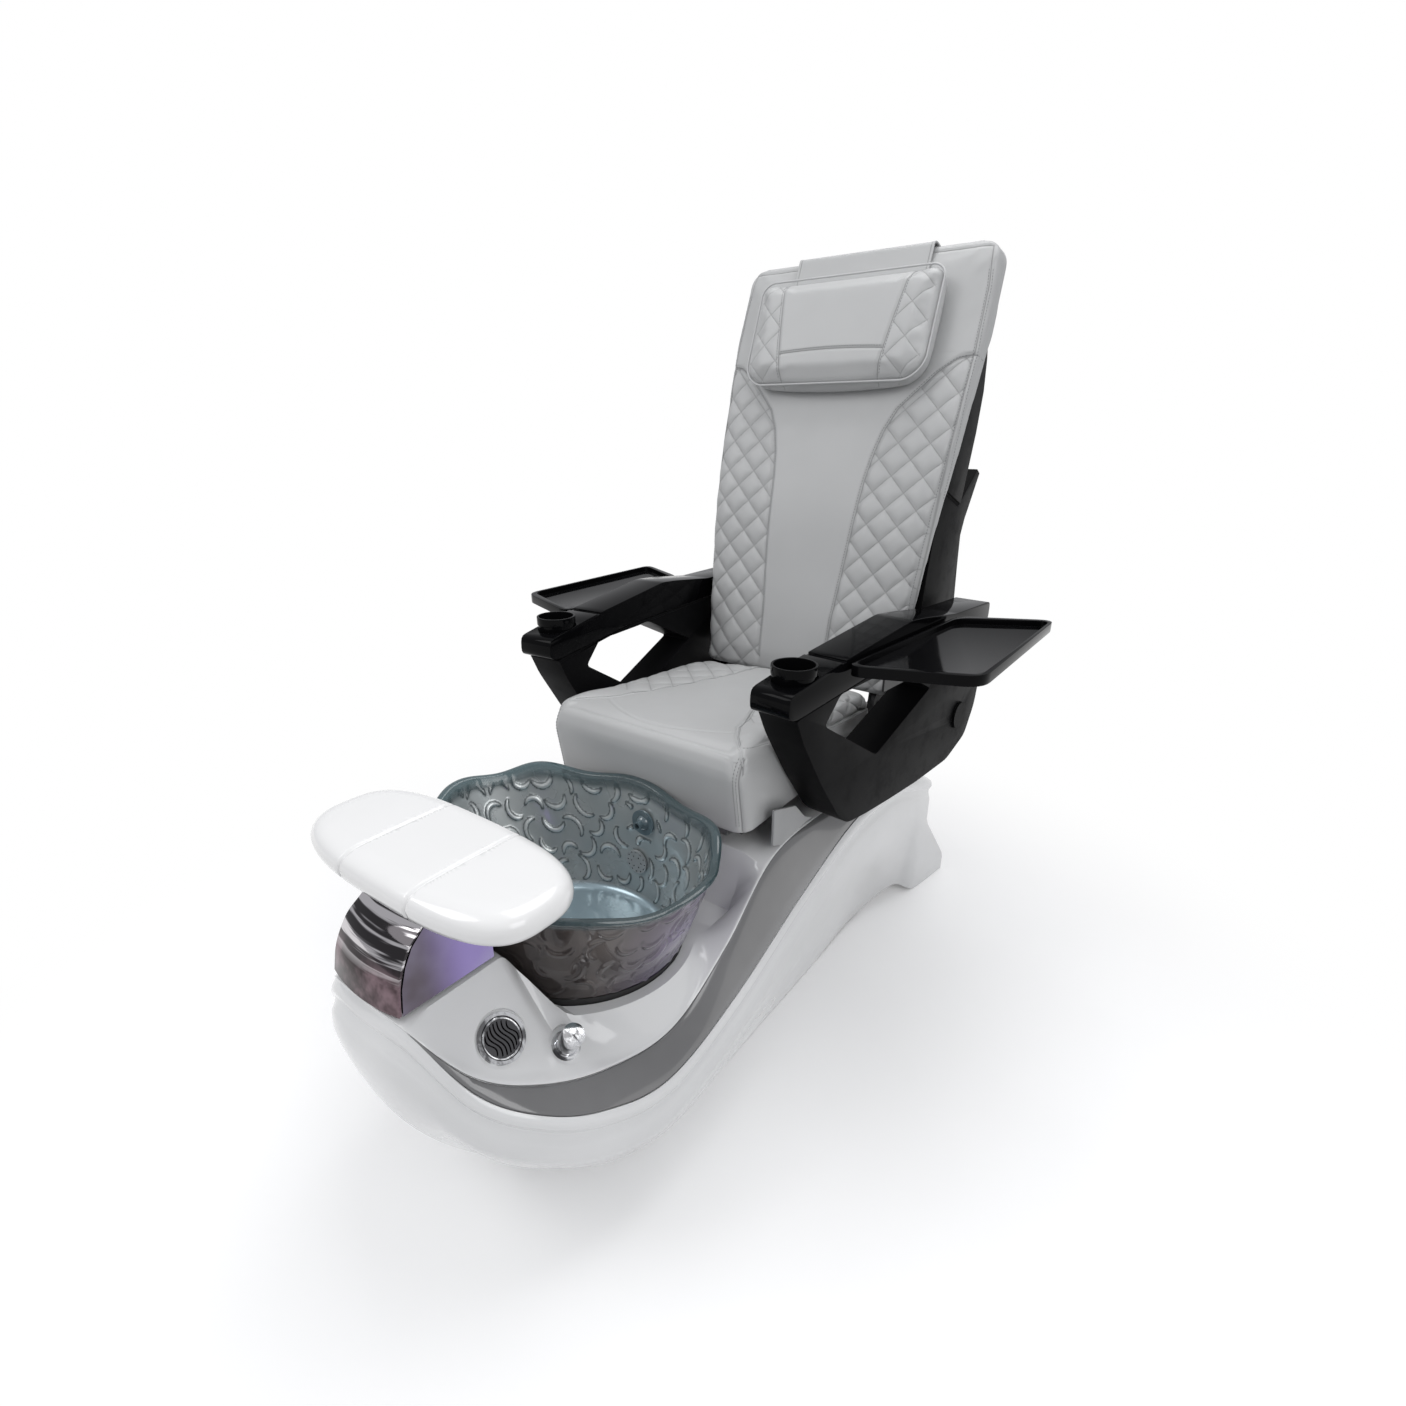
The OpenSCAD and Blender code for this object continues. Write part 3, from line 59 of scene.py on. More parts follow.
# %% The finish helper
class Val:
    """One node output that can be used in arithmetic."""

    def __init__(self, finish, socket):
        self.finish = finish
        self.socket = socket

    def maths(self, operation, a, b=0.0):
        return self.finish.node("Math", {"operation": operation}, {0: a, 1: b})

    def __add__(self, other):
        return self.maths("ADD", self, other)

    def __sub__(self, other):
        return self.maths("SUBTRACT", self, other)

    def __rsub__(self, other):
        return self.maths("SUBTRACT", other, self)

    def __mul__(self, other):
        return self.maths("MULTIPLY", self, other)

    __radd__ = __add__
    __rmul__ = __mul__


class Finish:
    """A material under construction."""

    def __init__(self, name):
        self.material = bpy.data.materials.new(name)
        self.material.use_nodes = True
        self.tree = self.material.node_tree
        self.tree.nodes.clear()
        self.place = self.node("TexCoord", {}, {}, "Object")

    def node(self, kind, settings, inputs, output=0):
        made = self.tree.nodes.new("ShaderNode" + kind)
        for key, value in settings.items():
            setattr(made, key, value)
        for key, value in inputs.items():
            socket = made.inputs[key]
            if isinstance(value, Val):
                self.tree.links.new(value.socket, socket)
            elif socket.type == "RGBA" and len(value) == 3:
                socket.default_value = (*value, 1)
            else:
                socket.default_value = value
        return Val(self, made.outputs[output]) if len(made.outputs) else None

    def noise(self, scale, detail=2.0, vector=None, roughness=0.5):
        inputs = {"Vector": vector or self.place, "Scale": scale, "Detail": detail, "Roughness": roughness}
        return self.node("TexNoise", {}, inputs)

    def steps(self, value, low, high):
        """0 below low, 1 above high, smooth between."""
        inputs = {"Value": value, "From Min": low, "From Max": high}
        return self.node("MapRange", {"interpolation_type": "SMOOTHSTEP"}, inputs)

    def mix(self, share, a, b):
        return self.node("Mix", {"data_type": "RGBA"}, {0: share, 6: a, 7: b}, 2)

    def bump(self, height, distance, strength=1.0, after=None):
        inputs = {"Height": height, "Distance": distance, "Strength": strength}
        if after:
            inputs["Normal"] = after
        return self.node("Bump", {}, inputs)

    def axis(self, index):
        return self.node("SeparateXYZ", {}, {0: self.place}, index)

    def shader(self, **sockets):
        named = {key.replace("_", " "): value for key, value in sockets.items()}
        return self.node("BsdfPrincipled", {}, named)

    def attribute(self, key):
        return self.node("Attribute", {"attribute_name": key}, {}, "Fac")

    def stretched(self, scale):
        """The object's coordinates, each multiplied by its own factor."""
        return self.node("Mapping", {}, {"Vector": self.place, "Scale": scale})

    def larger(self, a, b):
        return self.node("Math", {"operation": "MAXIMUM"}, {0: a, 1: b})

    def done(self, shader):
        self.node("OutputMaterial", {}, {"Surface": shader})
        return self.material


# %% [markdown]
# ## The hard finishes
# Most hard parts share one recipe: a base colour that drifts a little, a roughness
# that a faint smudge pattern breaks up, and a very small bump. What differs is how
# strong each of them is, so one function makes them all from a few numbers.

# %% Hard finishes
def hard(name, colour, rough, drift=0.03, smudge=0.06, grain=900, depth=0.00002, **fixed):
    f = Finish(name)
    soft = f.noise(7, 3)
    fine = f.noise(grain, 2)
    darker = tuple(c * (1 - 3 * drift) for c in colour)
    base = f.mix(f.steps(soft, 0.3, 0.7), darker, colour)
    marks = f.steps(f.noise(23, 4, roughness=0.65), 0.45, 0.75)
    return f.done(f.shader(
        Base_Color=base, Roughness=marks * smudge + rough,
        Normal=f.bump(fine, depth), **fixed))


def metal(name, colour, rough, smudge=0.05, **fixed):
    return hard(name, colour, rough, 0.015, smudge, 1400, 0.000006, Metallic=1.0, **fixed)


gelcoat = hard("gelcoat_white", (0.755, 0.76, 0.765), 0.12, 0.008, 0.05, 90, 0.00005,
               Coat_Weight=0.4, Coat_Roughness=0.05)
band_grey = hard("accent_grey", (0.165, 0.165, 0.168), 0.18, 0.05, 0.08, 700, 0.00002,
                 Coat_Weight=1.0, Coat_Roughness=0.06)
black_paint = hard("black_steel", (0.03, 0.03, 0.032), 0.42, 0.06, 0.1, 500, 0.00004)
rubber = hard("rubber_black", (0.022, 0.022, 0.022), 0.72, 0.08, 0.08, 800, 0.00008)
steel = metal("steel", (0.56, 0.56, 0.57), 0.3, 0.1)


def bright_plate():
    f = Finish("chrome")
    # Smudged patches, a little rougher, whose colour is darkened as a painted reflection.
    smudge_and_painted_reflection = f.steps(f.noise(46, 3, f.stretched((1, 1, 0.35)), 0.6), 0.42, 0.6)
    tint = f.mix(smudge_and_painted_reflection, (0.86, 0.865, 0.88), (0.2, 0.2, 0.205))
    return f.done(f.shader(Base_Color=tint, Metallic=1.0, Roughness=smudge_and_painted_reflection * 0.05 + 0.05,
                           Normal=f.bump(f.noise(1400, 2), 0.000005)))


chrome = bright_plate()
brass = metal("brass", (0.55, 0.42, 0.2), 0.34, 0.15)
jet_plastic = hard("jet_plastic", (0.09, 0.13, 0.15), 0.12, 0.05, 0.08, 400, 0.00002, Coat_Weight=1.0)
grey_plastic = hard("grey_plastic", (0.33, 0.35, 0.36), 0.35, 0.04, 0.1, 700, 0.00004)
pvc = hard("pvc", (0.7, 0.7, 0.69), 0.4, 0.03, 0.12, 300, 0.00003)
pad_white = hard("pad_white", (0.84, 0.84, 0.84), 0.16, 0.006, 0.06, 60, 0.00005,
                 Coat_Weight=0.5, Coat_Roughness=0.08)
skirt_grey = hard("skirt_grey", (0.36, 0.365, 0.37), 0.4, 0.03, 0.1, 1100, 0.00005)
black_satin = hard("black_plastic", (0.006, 0.006, 0.0065), 0.4, 0.1, 0.1, 1300, 0.00005,
                   Specular_IOR_Level=0.03)
black_gloss = hard("black_gloss", (0.003, 0.003, 0.0035), 0.08, 0.1, 0.08, 500, 0.00001,
                   Specular_IOR_Level=0.04, Coat_Weight=0.05, Coat_Roughness=0.03)
smoked_chrome = metal("smoked_chrome", (0.13, 0.13, 0.135), 0.12)
roller_tan = hard("roller", (0.5, 0.38, 0.24), 0.42, 0.05, 0.1, 600, 0.00004)
lens = hard("light_lens", (0.45, 0.3, 0.75), 0.2, 0.03, 0.05, 500, 0.00001,
            Emission_Color=(0.45, 0.25, 0.9, 1), Emission_Strength=1.2)
print("hard finishes made")

# %% [markdown]
# ## Board and mirror plate
# The seat pan is plywood, coloured near black as painted shade for the dark gap
# under the seat: rings of grain come from a wave texture stretched along the board.
# The column's front is a dark mirror, its polish slightly brushed across, with
# painted reflections in its colour, and its sides carry a painted violet reflection.

# %% Board and mirror
def board():
    f = Finish("pan_board")
    run = f.stretched((60, 4, 60))
    rings = f.node("TexWave", {}, {"Vector": run, "Scale": 0.6, "Distortion": 6.0, "Detail": 3.0})
    # Near black as painted shade for the dark gap under the seat; the rings of grain are the wood's own.
    base = f.mix(rings, (0.018, 0.015, 0.013), (0.032, 0.027, 0.023))
    return f.done(f.shader(Base_Color=base, Roughness=rings * 0.1 + 0.6, Normal=f.bump(rings, 0.0001)))


def mirror():
    f = Finish("mirror_panel")
    # Bright and dark bands in the plate's colour are painted reflections.
    painted_reflection_streaks = f.steps(f.noise(1.1, 3, f.stretched((3, 18, 90)), 0.6), 0.47, 0.56)
    brush = f.noise(1.5, 3, f.stretched((2, 30, 300)))
    cloud = f.steps(f.noise(13, 4, roughness=0.65), 0.4, 0.62)
    # Painted reflection: a dark, faintly pink cloud on the lower part of the plate, the bright bands above
    # it.
    low = f.mix(cloud, (0.03, 0.02, 0.022), (0.2, 0.14, 0.16))
    high = f.mix(painted_reflection_streaks, (0.045, 0.042, 0.045), (0.62, 0.6, 0.62))
    tint = f.mix(f.steps(f.axis(2), 0.5, 0.53), low, high)
    return f.done(f.shader(Base_Color=tint, Metallic=1.0, Roughness=brush * 0.04 + 0.04,
                           Normal=f.bump(brush, 0.00001)))


def painted_violet_mirror():
    f = Finish("mirror_side")
    cloud = f.steps(f.noise(9, 3), 0.35, 0.65)
    # The violet towards the back and the paler cloud over it are painted reflections in the plate's
    # colour.
    tint = f.mix(f.steps(f.axis(1), -0.68, -0.6), (0.1, 0.085, 0.1), (0.25, 0.2, 0.42))
    tint = f.mix(cloud * 0.4, tint, (0.34, 0.32, 0.45))
    return f.done(f.shader(Base_Color=tint, Metallic=1.0, Roughness=cloud * 0.04 + 0.04))


pan_board = board()
mirror_panel = mirror()
mirror_side = painted_violet_mirror()

# %% [markdown]
# ## Resin
# The tub is a smoky resin, silvery inside and darker outside, where a violet glow
# is painted on one side towards the back. Its points note which side of the wall they
# are on, how near the rim they are and how high the relief stands. One finish reads
# these and mixes the sides and the clear rim, with painted shade round the foot of
# each crescent and a painted highlight on its crest, so the tub stays one closed piece.

# %% Tub resin
TUB_FLOOR, TUB_TOP = 0.314, 0.533


def resin():
    f = Finish("tub_resin")
    height = f.steps(f.axis(2), 0.33, 0.52)
    outer, relief, rim = f.attribute("outer"), f.attribute("relief"), f.attribute("rim")
    cloud = f.steps(f.noise(11, 3), 0.35, 0.7)
    # Painted shade in a ring round the foot of each crescent.
    painted_crescent_shade = f.steps(relief, 0.0, 0.12) * (1 - f.steps(relief, 0.3, 0.6))
    inside = f.mix(height, (0.36, 0.395, 0.4), (0.42, 0.46, 0.465))
    inside = f.mix(cloud * 0.5, inside, (0.5, 0.505, 0.5))
    # Painted highlight on the crests of the relief.
    inside = f.mix(f.steps(relief, 0.4, 0.9) * 0.6, inside, (0.72, 0.75, 0.75))
    inside = f.mix(painted_crescent_shade * 0.75, inside, (0.05, 0.062, 0.066))
    # Painted light: a violet glow on one side of the outer wall, towards the back.
    side = f.steps(f.axis(0), -0.02, 0.2)
    smoke = f.mix(cloud, (0.05, 0.04, 0.037), (0.1, 0.08, 0.072))
    violet = f.mix(cloud, (0.075, 0.045, 0.13), (0.18, 0.12, 0.31))
    outside = f.mix(side * f.steps(f.axis(1), -0.48, -0.32), smoke, violet)
    # Painted shade round the crescents on the outside as well.
    outside = f.mix(painted_crescent_shade * 0.5, outside, (0.02, 0.017, 0.02))
    floor = 1 - f.steps(f.axis(2), TUB_FLOOR + 0.004, TUB_FLOOR + 0.014)
    inside = f.mix(floor, inside, (0.3, 0.4, 0.45))
    base = f.mix(outer, inside, outside)
    wall = f.shader(Base_Color=base, Metallic=0.5, Roughness=cloud * 0.08 + 0.22,
                    Coat_Weight=0.8, Coat_Roughness=0.04, IOR=1.5)
    glass = f.shader(Base_Color=(0.11, 0.165, 0.18), Roughness=0.07, Transmission_Weight=0.6,
                     IOR=1.45, Coat_Weight=0.4)
    return f.done(f.node("MixShader", {}, {0: rim, 1: wall, 2: glass}))


tub_resin = resin()


# %% [markdown]
# ## Vinyl
# The upholstery is a light grey vinyl. Its skin is a network of tiny pebbles with
# creases between them, which a Voronoi texture gives, laid over slow waves of the
# foam. Each cushion carries attributes on its points: two running counts of the
# quilting lines, the distance into the quilted zone, the distances from its seams,
# and how deep its dents are. They change evenly over each face, so the finish can
# draw creases from them that are much finer than the mesh, as bumps with painted
# shade, and lay painted shade in the dents.

# %% Vinyl
QUILT = 0.068
QUILT_GAP = QUILT / math.sqrt(2)


def vinyl(name, colour):
    f = Finish(name)
    cells = f.node("TexVoronoi", {"feature": "DISTANCE_TO_EDGE"}, {"Vector": f.place, "Scale": 620.0})
    pebble = f.steps(cells, 0.0, 0.12)
    waves = f.noise(14, 3)

    def seam(key):
        away = f.node("Math", {"operation": "ABSOLUTE"}, {0: f.attribute(key)})
        return 1 - f.steps(away, 0.0001, 0.0014)

    def lattice(key):
        away = f.node("Math", {"operation": "PINGPONG"}, {0: f.attribute(key), 1: 0.5})
        return 1 - f.steps(away * QUILT_GAP, 0.0001, 0.0015)

    zone = f.steps(f.attribute("zone"), -0.0002, 0.0008)
    quilt = f.larger(lattice("run_a"), lattice("run_b")) * zone
    crease = f.larger(quilt * 0.6, f.larger(seam("seam_a"), seam("seam_b")))
    tone = f.mix(f.steps(f.noise(5, 2), 0.3, 0.7), tuple(c * 0.95 for c in colour), colour)
    # Painted shade in the dents of the seams and the quilting.
    tone = f.mix(f.attribute("valley") * 0.22, tone, tuple(c * 0.6 for c in colour))
    # Painted shade along the seams and the quilting lines, which the next lines also bump.
    tone = f.mix(crease * 0.55, tone, tuple(c * 0.35 for c in colour))
    first = f.bump(waves, 0.0012, 0.7)
    second = f.bump(1 - crease, 0.0008, 0.8, first)
    return f.done(f.shader(
        Base_Color=tone, Roughness=f.noise(40, 3) * 0.14 + 0.34,
        Normal=f.bump(pebble, 0.00006, 0.5, second), Specular_IOR_Level=0.45))


vinyl_grey = vinyl("vinyl_grey", (0.465, 0.47, 0.472))
piping_grey = hard("piping_grey", (0.5, 0.505, 0.51), 0.35, 0.02, 0.08, 900, 0.00004)
thread = hard("thread", (0.2, 0.205, 0.21), 0.6, 0.05, 0.1, 3000, 0.00005)

# %% [markdown]
# ## Dressing the CAD nodes
# Parts whose shape is already right only need a finish: the material goes into the
# slots of the CAD object, and its mesh is left alone.

# %% Finish the CAD nodes
cad_finish = {
    gelcoat: ["rear_panel", "pillar_core"],
    black_paint: ["base_frame", "seat_carriage", "back_frame", "tray_bracket_left", "tray_bracket_right"],
    rubber: ["levelling_feet", "tub_gasket"],
    steel: ["panel_screws", "slide_rails", "recline_pins", "massage_rails", "footrest_post"],
    chrome: ["tap_escutcheon", "tap_knob", "shower_socket", "drain_fitting", "drain_stopper",
             "supply_hoses"],
    brass: ["mixer_valve"],
    jet_plastic: ["jet_nozzle", "jet_housing"],
    grey_plastic: ["suction_cover", "massage_carriage"],
    pvc: ["drain_pipe"],
    lens: ["tub_light"],
    mirror_side: ["pillar_side_left", "pillar_side_right"],
    skirt_grey: ["seat_skirt_left", "seat_skirt_right"],
    black_satin: ["power_box", "arm_pivot_left", "arm_pivot_right"],
    pan_board: ["seat_pan"],
    roller_tan: ["massage_roller_left", "massage_roller_right"],
    smoked_chrome: ["hand_shower"],
}
for finish, names in cad_finish.items():
    for name in names:
        slots = nodes[name].data.materials
        slots.clear()
        slots.append(finish)
print("CAD nodes finished:", sum(len(names) for names in cad_finish.values()))


# %% [markdown]
# ## Mesh helpers
# A skin is a grid of points: rings, each of the same count, joined by quads. Edges
# that turn by more than a given angle stay sharp and all others are shaded smooth.

# %% Mesh helpers
@contextmanager
def edited(mesh):
    """A bmesh of the mesh, which is written back at the end."""
    work = bmesh.new()
    work.from_mesh(mesh)
    yield work
    work.to_mesh(mesh)
    work.free()


def shade(mesh, degrees=32):
    mesh.polygons.foreach_set("use_smooth", [True] * len(mesh.polygons))
    limit = math.radians(degrees)
    with edited(mesh) as work:
        for edge in work.edges:
            edge.smooth = len(edge.link_faces) == 2 and edge.calc_face_angle(0) < limit


def painted(mesh, finish):
    mesh.materials.clear()
    mesh.materials.append(finish)


def placed(name, points, edges, faces):
    """A new object at the origin, made of plain lists."""
    mesh = bpy.data.meshes.new(name)
    mesh.from_pydata([tuple(p) for p in points], edges, faces)
    made = bpy.data.objects.new(name, mesh)
    bpy.context.scene.collection.objects.link(made)
    return made


def piece(name, points, faces, finish, degrees=32):
    made = placed(name, points, [], faces)
    with edited(made.data) as work:
        bmesh.ops.remove_doubles(work, verts=work.verts, dist=1e-6)
        bmesh.ops.recalc_face_normals(work, faces=work.faces)
    shade(made.data, degrees)
    painted(made.data, finish)
    return made


def skin(rings, ends=True, loop=False):
    """Points and faces of a solid through closed rings."""
    rings = np.asarray(rings)
    m, n = rings.shape[:2]
    count = m if loop else m - 1
    faces = [(i * n + j, (i + 1) % m * n + j, (i + 1) % m * n + (j + 1) % n, i * n + (j + 1) % n)
             for i in range(count) for j in range(n)]
    if ends and not loop:
        faces += [tuple(range(n)), tuple(range((m - 1) * n, m * n))]
    return rings.reshape(-1, 3), faces


def baked(made):
    """The evaluated mesh replaces the object's own, and its modifiers go."""
    bpy.context.view_layer.update()
    graph = bpy.context.evaluated_depsgraph_get()
    mesh = bpy.data.meshes.new_from_object(made.evaluated_get(graph))
    made.modifiers.clear()
    made.data = mesh


def note(mesh, **values):
    """Keeps a number per point, under each name, for the finishes to read."""
    for name, value in values.items():
        mesh.attributes.new(name, "FLOAT", "POINT").data.foreach_set("value", value)


def stands_for(made, body, slot, *replaced):
    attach(made, body)
    if replaced:
        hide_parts(*replaced)
    print(made.name, len(made.data.polygons), "faces on", body)


# %% [markdown]
# ## Rounding the moulded parts
# CAD edges are perfectly sharp, and a sharp edge never catches the light. A copy of
# the node is welded, its flat triangles are joined, and a Bevel modifier rounds
# each edge by the radius that the mould would give it.

# %% Soft edges
def softened(node, radius, finish, body, slot):
    made = nodes[node].copy()
    made.data = nodes[node].data.copy()
    made.name = node + "_soft"
    made.parent = None
    made.matrix_world = Matrix()
    bpy.context.scene.collection.objects.link(made)
    with edited(made.data) as work:
        bmesh.ops.remove_doubles(work, verts=work.verts, dist=2e-6)
        bmesh.ops.dissolve_limit(work, angle_limit=math.radians(0.6), verts=work.verts, edges=work.edges)
    painted(made.data, finish)
    bevel = made.modifiers.new("edges", "BEVEL")
    bevel.width = radius
    bevel.segments = 3
    bevel.limit_method = "ANGLE"
    bevel.angle_limit = math.radians(38)
    baked(made)
    shade(made.data, 40)
    stands_for(made, body, slot, node)


for s in ("left", "right"):
    arm = "arm_" + s
    softened("arm_panel_" + s, 0.005, black_satin, arm, "black_plastic")
    softened("arm_cap_" + s, 0.004, black_gloss, arm, "black_gloss")
    softened("cup_holder_" + s, 0.0012, black_gloss, arm, "black_gloss")
    softened("tray_" + s, 0.0022, black_gloss, "tray_" + s, "black_gloss")
softened("back_shell_upper", 0.009, black_satin, "backrest", "black_plastic")
softened("back_shell_lower", 0.009, black_satin, "backrest", "black_plastic")


# %% [markdown]
# ## Curves of the base
# The base is drawn by three rows of control points down its left side: the edge of
# the deck, the outer edge of the grey band, and the foot. Smooth curves run through
# them, and the right side is their mirror. These are the rows of the CAD source, in
# metres, so the fine skin lies on the coarse CAD solid.

# %% Control rows
DECK = np.array([
    [0, -714, 458], [76, -711, 454], [143, -666, 381], [187, -600, 338], [218, -509, 305],
    [236, -384, 288], [242, -252, 352], [243, -103, 451], [245, 120, 453], [248, 330, 449],
    [252, 460, 415], [257, 530, 375], [260, 585, 335]]) / 1000
BAND = np.array([
    [0, -713, 452], [78, -709, 447], [155, -676, 361], [213, -625, 317], [249, -547, 275],
    [267, -428, 238], [274, -263, 272], [276, -50, 348], [278, 150, 403], [281, 340, 403],
    [283, 470, 367], [284, 536, 343], [284, 588, 322]]) / 1000
FLOOR = np.array([
    [0, -538, 0], [66, -498, 0], [122, -452, 0], [165, -403, 0], [186, -350, 0], [191, -270, 0],
    [193, -170, 0], [195, -20, 0], [197, 170, 0], [200, 380, 8], [238, 520, 34], [273, 592, 0],
    [298, 728, 0]]) / 1000
STATIONS = len(DECK) - 1
PLATFORM, RIDGE, RING = 0.455, 0.458, 0.352
TUB_Y, TUB_A, TUB_B = -0.36, 0.277, 0.188


def ramp(x, a, b):
    t = np.clip((x - a) / (b - a), 0, 1)
    return t * t * (3 - 2 * t)


def unit(v):
    return v / max(1e-9, np.linalg.norm(v))


def mix4(a, b, c, d, t):
    return 0.5 * (2 * b + (c - a) * t + (2 * a - 5 * b + 4 * c - d) * t * t
                  + (3 * b - a - 3 * c + d) * t ** 3)


def along(row, u, mirrored=False):
    """Point at u on the smooth curve through a row, which may start on the middle plane."""
    row = np.asarray(row, float)
    n = len(row) - 1
    i = int(min(n - 1, max(0, math.floor(u))))
    before = row[i - 1] if i else 2 * row[0] - row[1]
    if mirrored and i == 0:
        before = row[1] * [-1, 1, 1]
    after = row[i + 2] if i + 2 <= n else 2 * row[n] - row[n - 1]
    return mix4(before, row[i], row[i + 1], after, u - i)


def crown_z(y):
    """Height of the deck along the middle: ridge, ring round the tub, platform, tail."""
    return (RING + (RIDGE - RING) * (1 - ramp(y, -0.562, -0.5))
            + (PLATFORM - RING) * (ramp(y, -0.172, -0.128) - ramp(y, 0.465, 0.6)))


def level_x(y, xe):
    """Half width of the deck's level middle where the deck's edge is at xe."""
    h, d = TUB_B * 1.05, abs(y - TUB_Y)
    ring = 0.217 * math.sqrt(1 - (d / h) ** 2) if d < h else 0
    column = 0.078 * (1 - ramp(y, TUB_Y - 0.1, TUB_Y))
    return min(0.93 * xe, max(ring, column, 0.8 * xe * ramp(y, TUB_Y, TUB_Y + 0.13)))


# %% [markdown]
# ## One section of the shell
# At each station a section runs from the middle of the deck, over the edge, down
# through the groove that holds the grey band, over the lip below it with its hollow
# and its crease, and in under the base to the floor.

# %% Shell section
BAND_FROM, BAND_TO = 1.1, 8.767
GROOVE = 0.0054
LIP = [(0, 0.7), (2.2, 3), (4.2, 8), (4.2, 15), (2.2, 19.5), (-1.2, 26), (-1.4, 33), (0.4, 41),
       (2.2, 45), (2.8, 52), (3, 60), (3, 72)]
NOSE_BULGE = ([0.7, 16.7, 42, 72], [0, 5, 14, 17])
GROOVE_END = 0.03
NEAR = 0.02


def direction(row, u):
    """Difference of two points of a row, just ahead of u and just behind it."""
    return along(row, min(STATIONS, u + NEAR), True) - along(row, max(0, u - NEAR), True)


def side_out(u):
    """Level direction away from the base's side at a station."""
    ahead = direction(BAND, u)
    return unit(np.array([ahead[1], -ahead[0], 0])) if u > 0 else np.array([0.0, -1, 0])


def bend(a, corner, b, count=3):
    """Points that round a corner between a and b."""
    return [a * (1 - t) ** 2 + corner * 2 * t * (1 - t) + b * t * t for t in np.linspace(0, 1, count)]


def section(u):
    """Points of the shell's half section at station u, from the deck's middle to the foot's."""
    e, b, f = (along(row, u, True) for row in (DECK, BAND, FLOOR))
    n = side_out(u)
    x0 = level_x(e[1], e[0])
    tail = float(ramp(u, STATIONS - 1, STATIONS))
    tip = 1 - float(ramp(u, 0, 3))
    lead = 0.001 * (14 + 26 * float(ramp(u, 0, 1.5))) * (1 - float(ramp(u, 2, 4)))
    middle_y = e[1] + 1.5 * lead
    points = []
    for g in np.linspace(0, 1, 7)[:-1]:
        y = middle_y + (e[1] + lead - middle_y) * g
        points.append([x0 * g, y, crown_z(y) + 0.003 * (1 - g * g)])
    for g in (0, 0.1, 0.2, 0.3, 0.42, 0.55, 0.68, 0.8, 0.9):
        y = e[1] + lead * (1 - g)
        points.append([x0 + (e[0] - x0) * g, y, e[2] + (crown_z(y) - e[2]) * (1 - g) ** 1.4])
    across = b - e
    width = np.linalg.norm(across)
    w = unit(across)
    up = unit(np.cross(w, unit(direction(DECK, u)))) if width > 1e-4 else np.array([0.0, 0, 1])
    depth = GROOVE * float(ramp(u, BAND_FROM - GROOVE_END, BAND_FROM)
                           * (1 - ramp(u, BAND_TO, BAND_TO + GROOVE_END)))
    r = min(0.0025, width * 0.2)
    last = np.array(points[-1])
    points += bend(e + unit(last - e) * r, e, e + w * r)
    points += [e + w * (r + 0.0008) - up * depth, e + w * width * 0.35 - up * depth,
               e + w * width * 0.65 - up * depth, b - w * (r + 0.0008) - up * depth]
    lip = [b + n * (d + tip * np.interp(z, *NOSE_BULGE)) * 0.001 - [0, 0, z * 0.001] for d, z in LIP]
    points += bend(b - w * r, b, lip[1])
    points += lip[2:]
    k = lip[-1]
    for g in np.linspace(0, 1, 15)[1:]:
        h = (1 - tail) * g ** (1.3 + 0.45 * tip) + tail * min(1, max(0, (g - 0.17) / 0.65))
        points.append([k[0] + (f[0] - k[0]) * h, k[1] + (f[1] - k[1]) * h,
                       k[2] + (max(0, f[2]) - k[2]) * g])
    points.append([0, f[1] + lead - 0.002 * tail, max(0, f[2])])
    half = np.array(points)
    if u == 0:
        half[:, 0] = 0
    return half


# %% [markdown]
# ## The moulded shell
# The real base is one moulding. Its sections are joined into a closed skin, and
# Boolean cutters then take out the pocket of the tub, the hole of the column and the
# seats of the tap and the hand shower. Cutting a finished skin keeps its flow, which
# holes built into the sections would break up. Last it is opened below, since the
# moulding stands on its rim.

# %% Fine shell
def fine_stations():
    even = np.linspace(0, STATIONS, STATIONS * 12 + 1)
    ends = [BAND_FROM - GROOVE_END, BAND_FROM, BAND_TO, BAND_TO + GROOVE_END]
    keep = [u for u in even if min(abs(u - e) for e in ends) > NEAR]
    return sorted(keep + ends)


def hull_mesh():
    """Points and faces of the closed shell: each half section with its mirror."""
    halves = [section(u) for u in fine_stations()]
    n, m = len(halves[0]), len(halves)
    ring = 2 * n - 2
    flip = np.array([-1, 1, 1])
    points = np.vstack([halves[0]] + [np.vstack([h, h[-2:0:-1] * flip]) for h in halves[1:]])

    def at(i, j):
        j %= ring
        return n + (i - 1) * ring + j if i else min(j, ring - j)

    faces = []
    for i in range(m - 1):
        for j in range(ring):
            quad = [at(i, j), at(i, j + 1), at(i + 1, j + 1), at(i + 1, j)]
            faces.append(tuple(dict.fromkeys(quad)))
    for j in range(n - 1):
        quad = [at(m - 1, j), at(m - 1, ring - j), at(m - 1, ring - j - 1), at(m - 1, j + 1)]
        faces.append(tuple(dict.fromkeys(quad)))
    return points, [face for face in faces if len(face) > 2]


def superellipse(a, b, n, q):
    c, s = np.cos(q), np.sin(q)
    return a * np.sign(c) * abs(c) ** (2 / n), b * np.sign(s) * abs(s) ** (2 / n)


FOOT_A, FOOT_B = 0.172, 0.168
RIM_OUT = 0.008


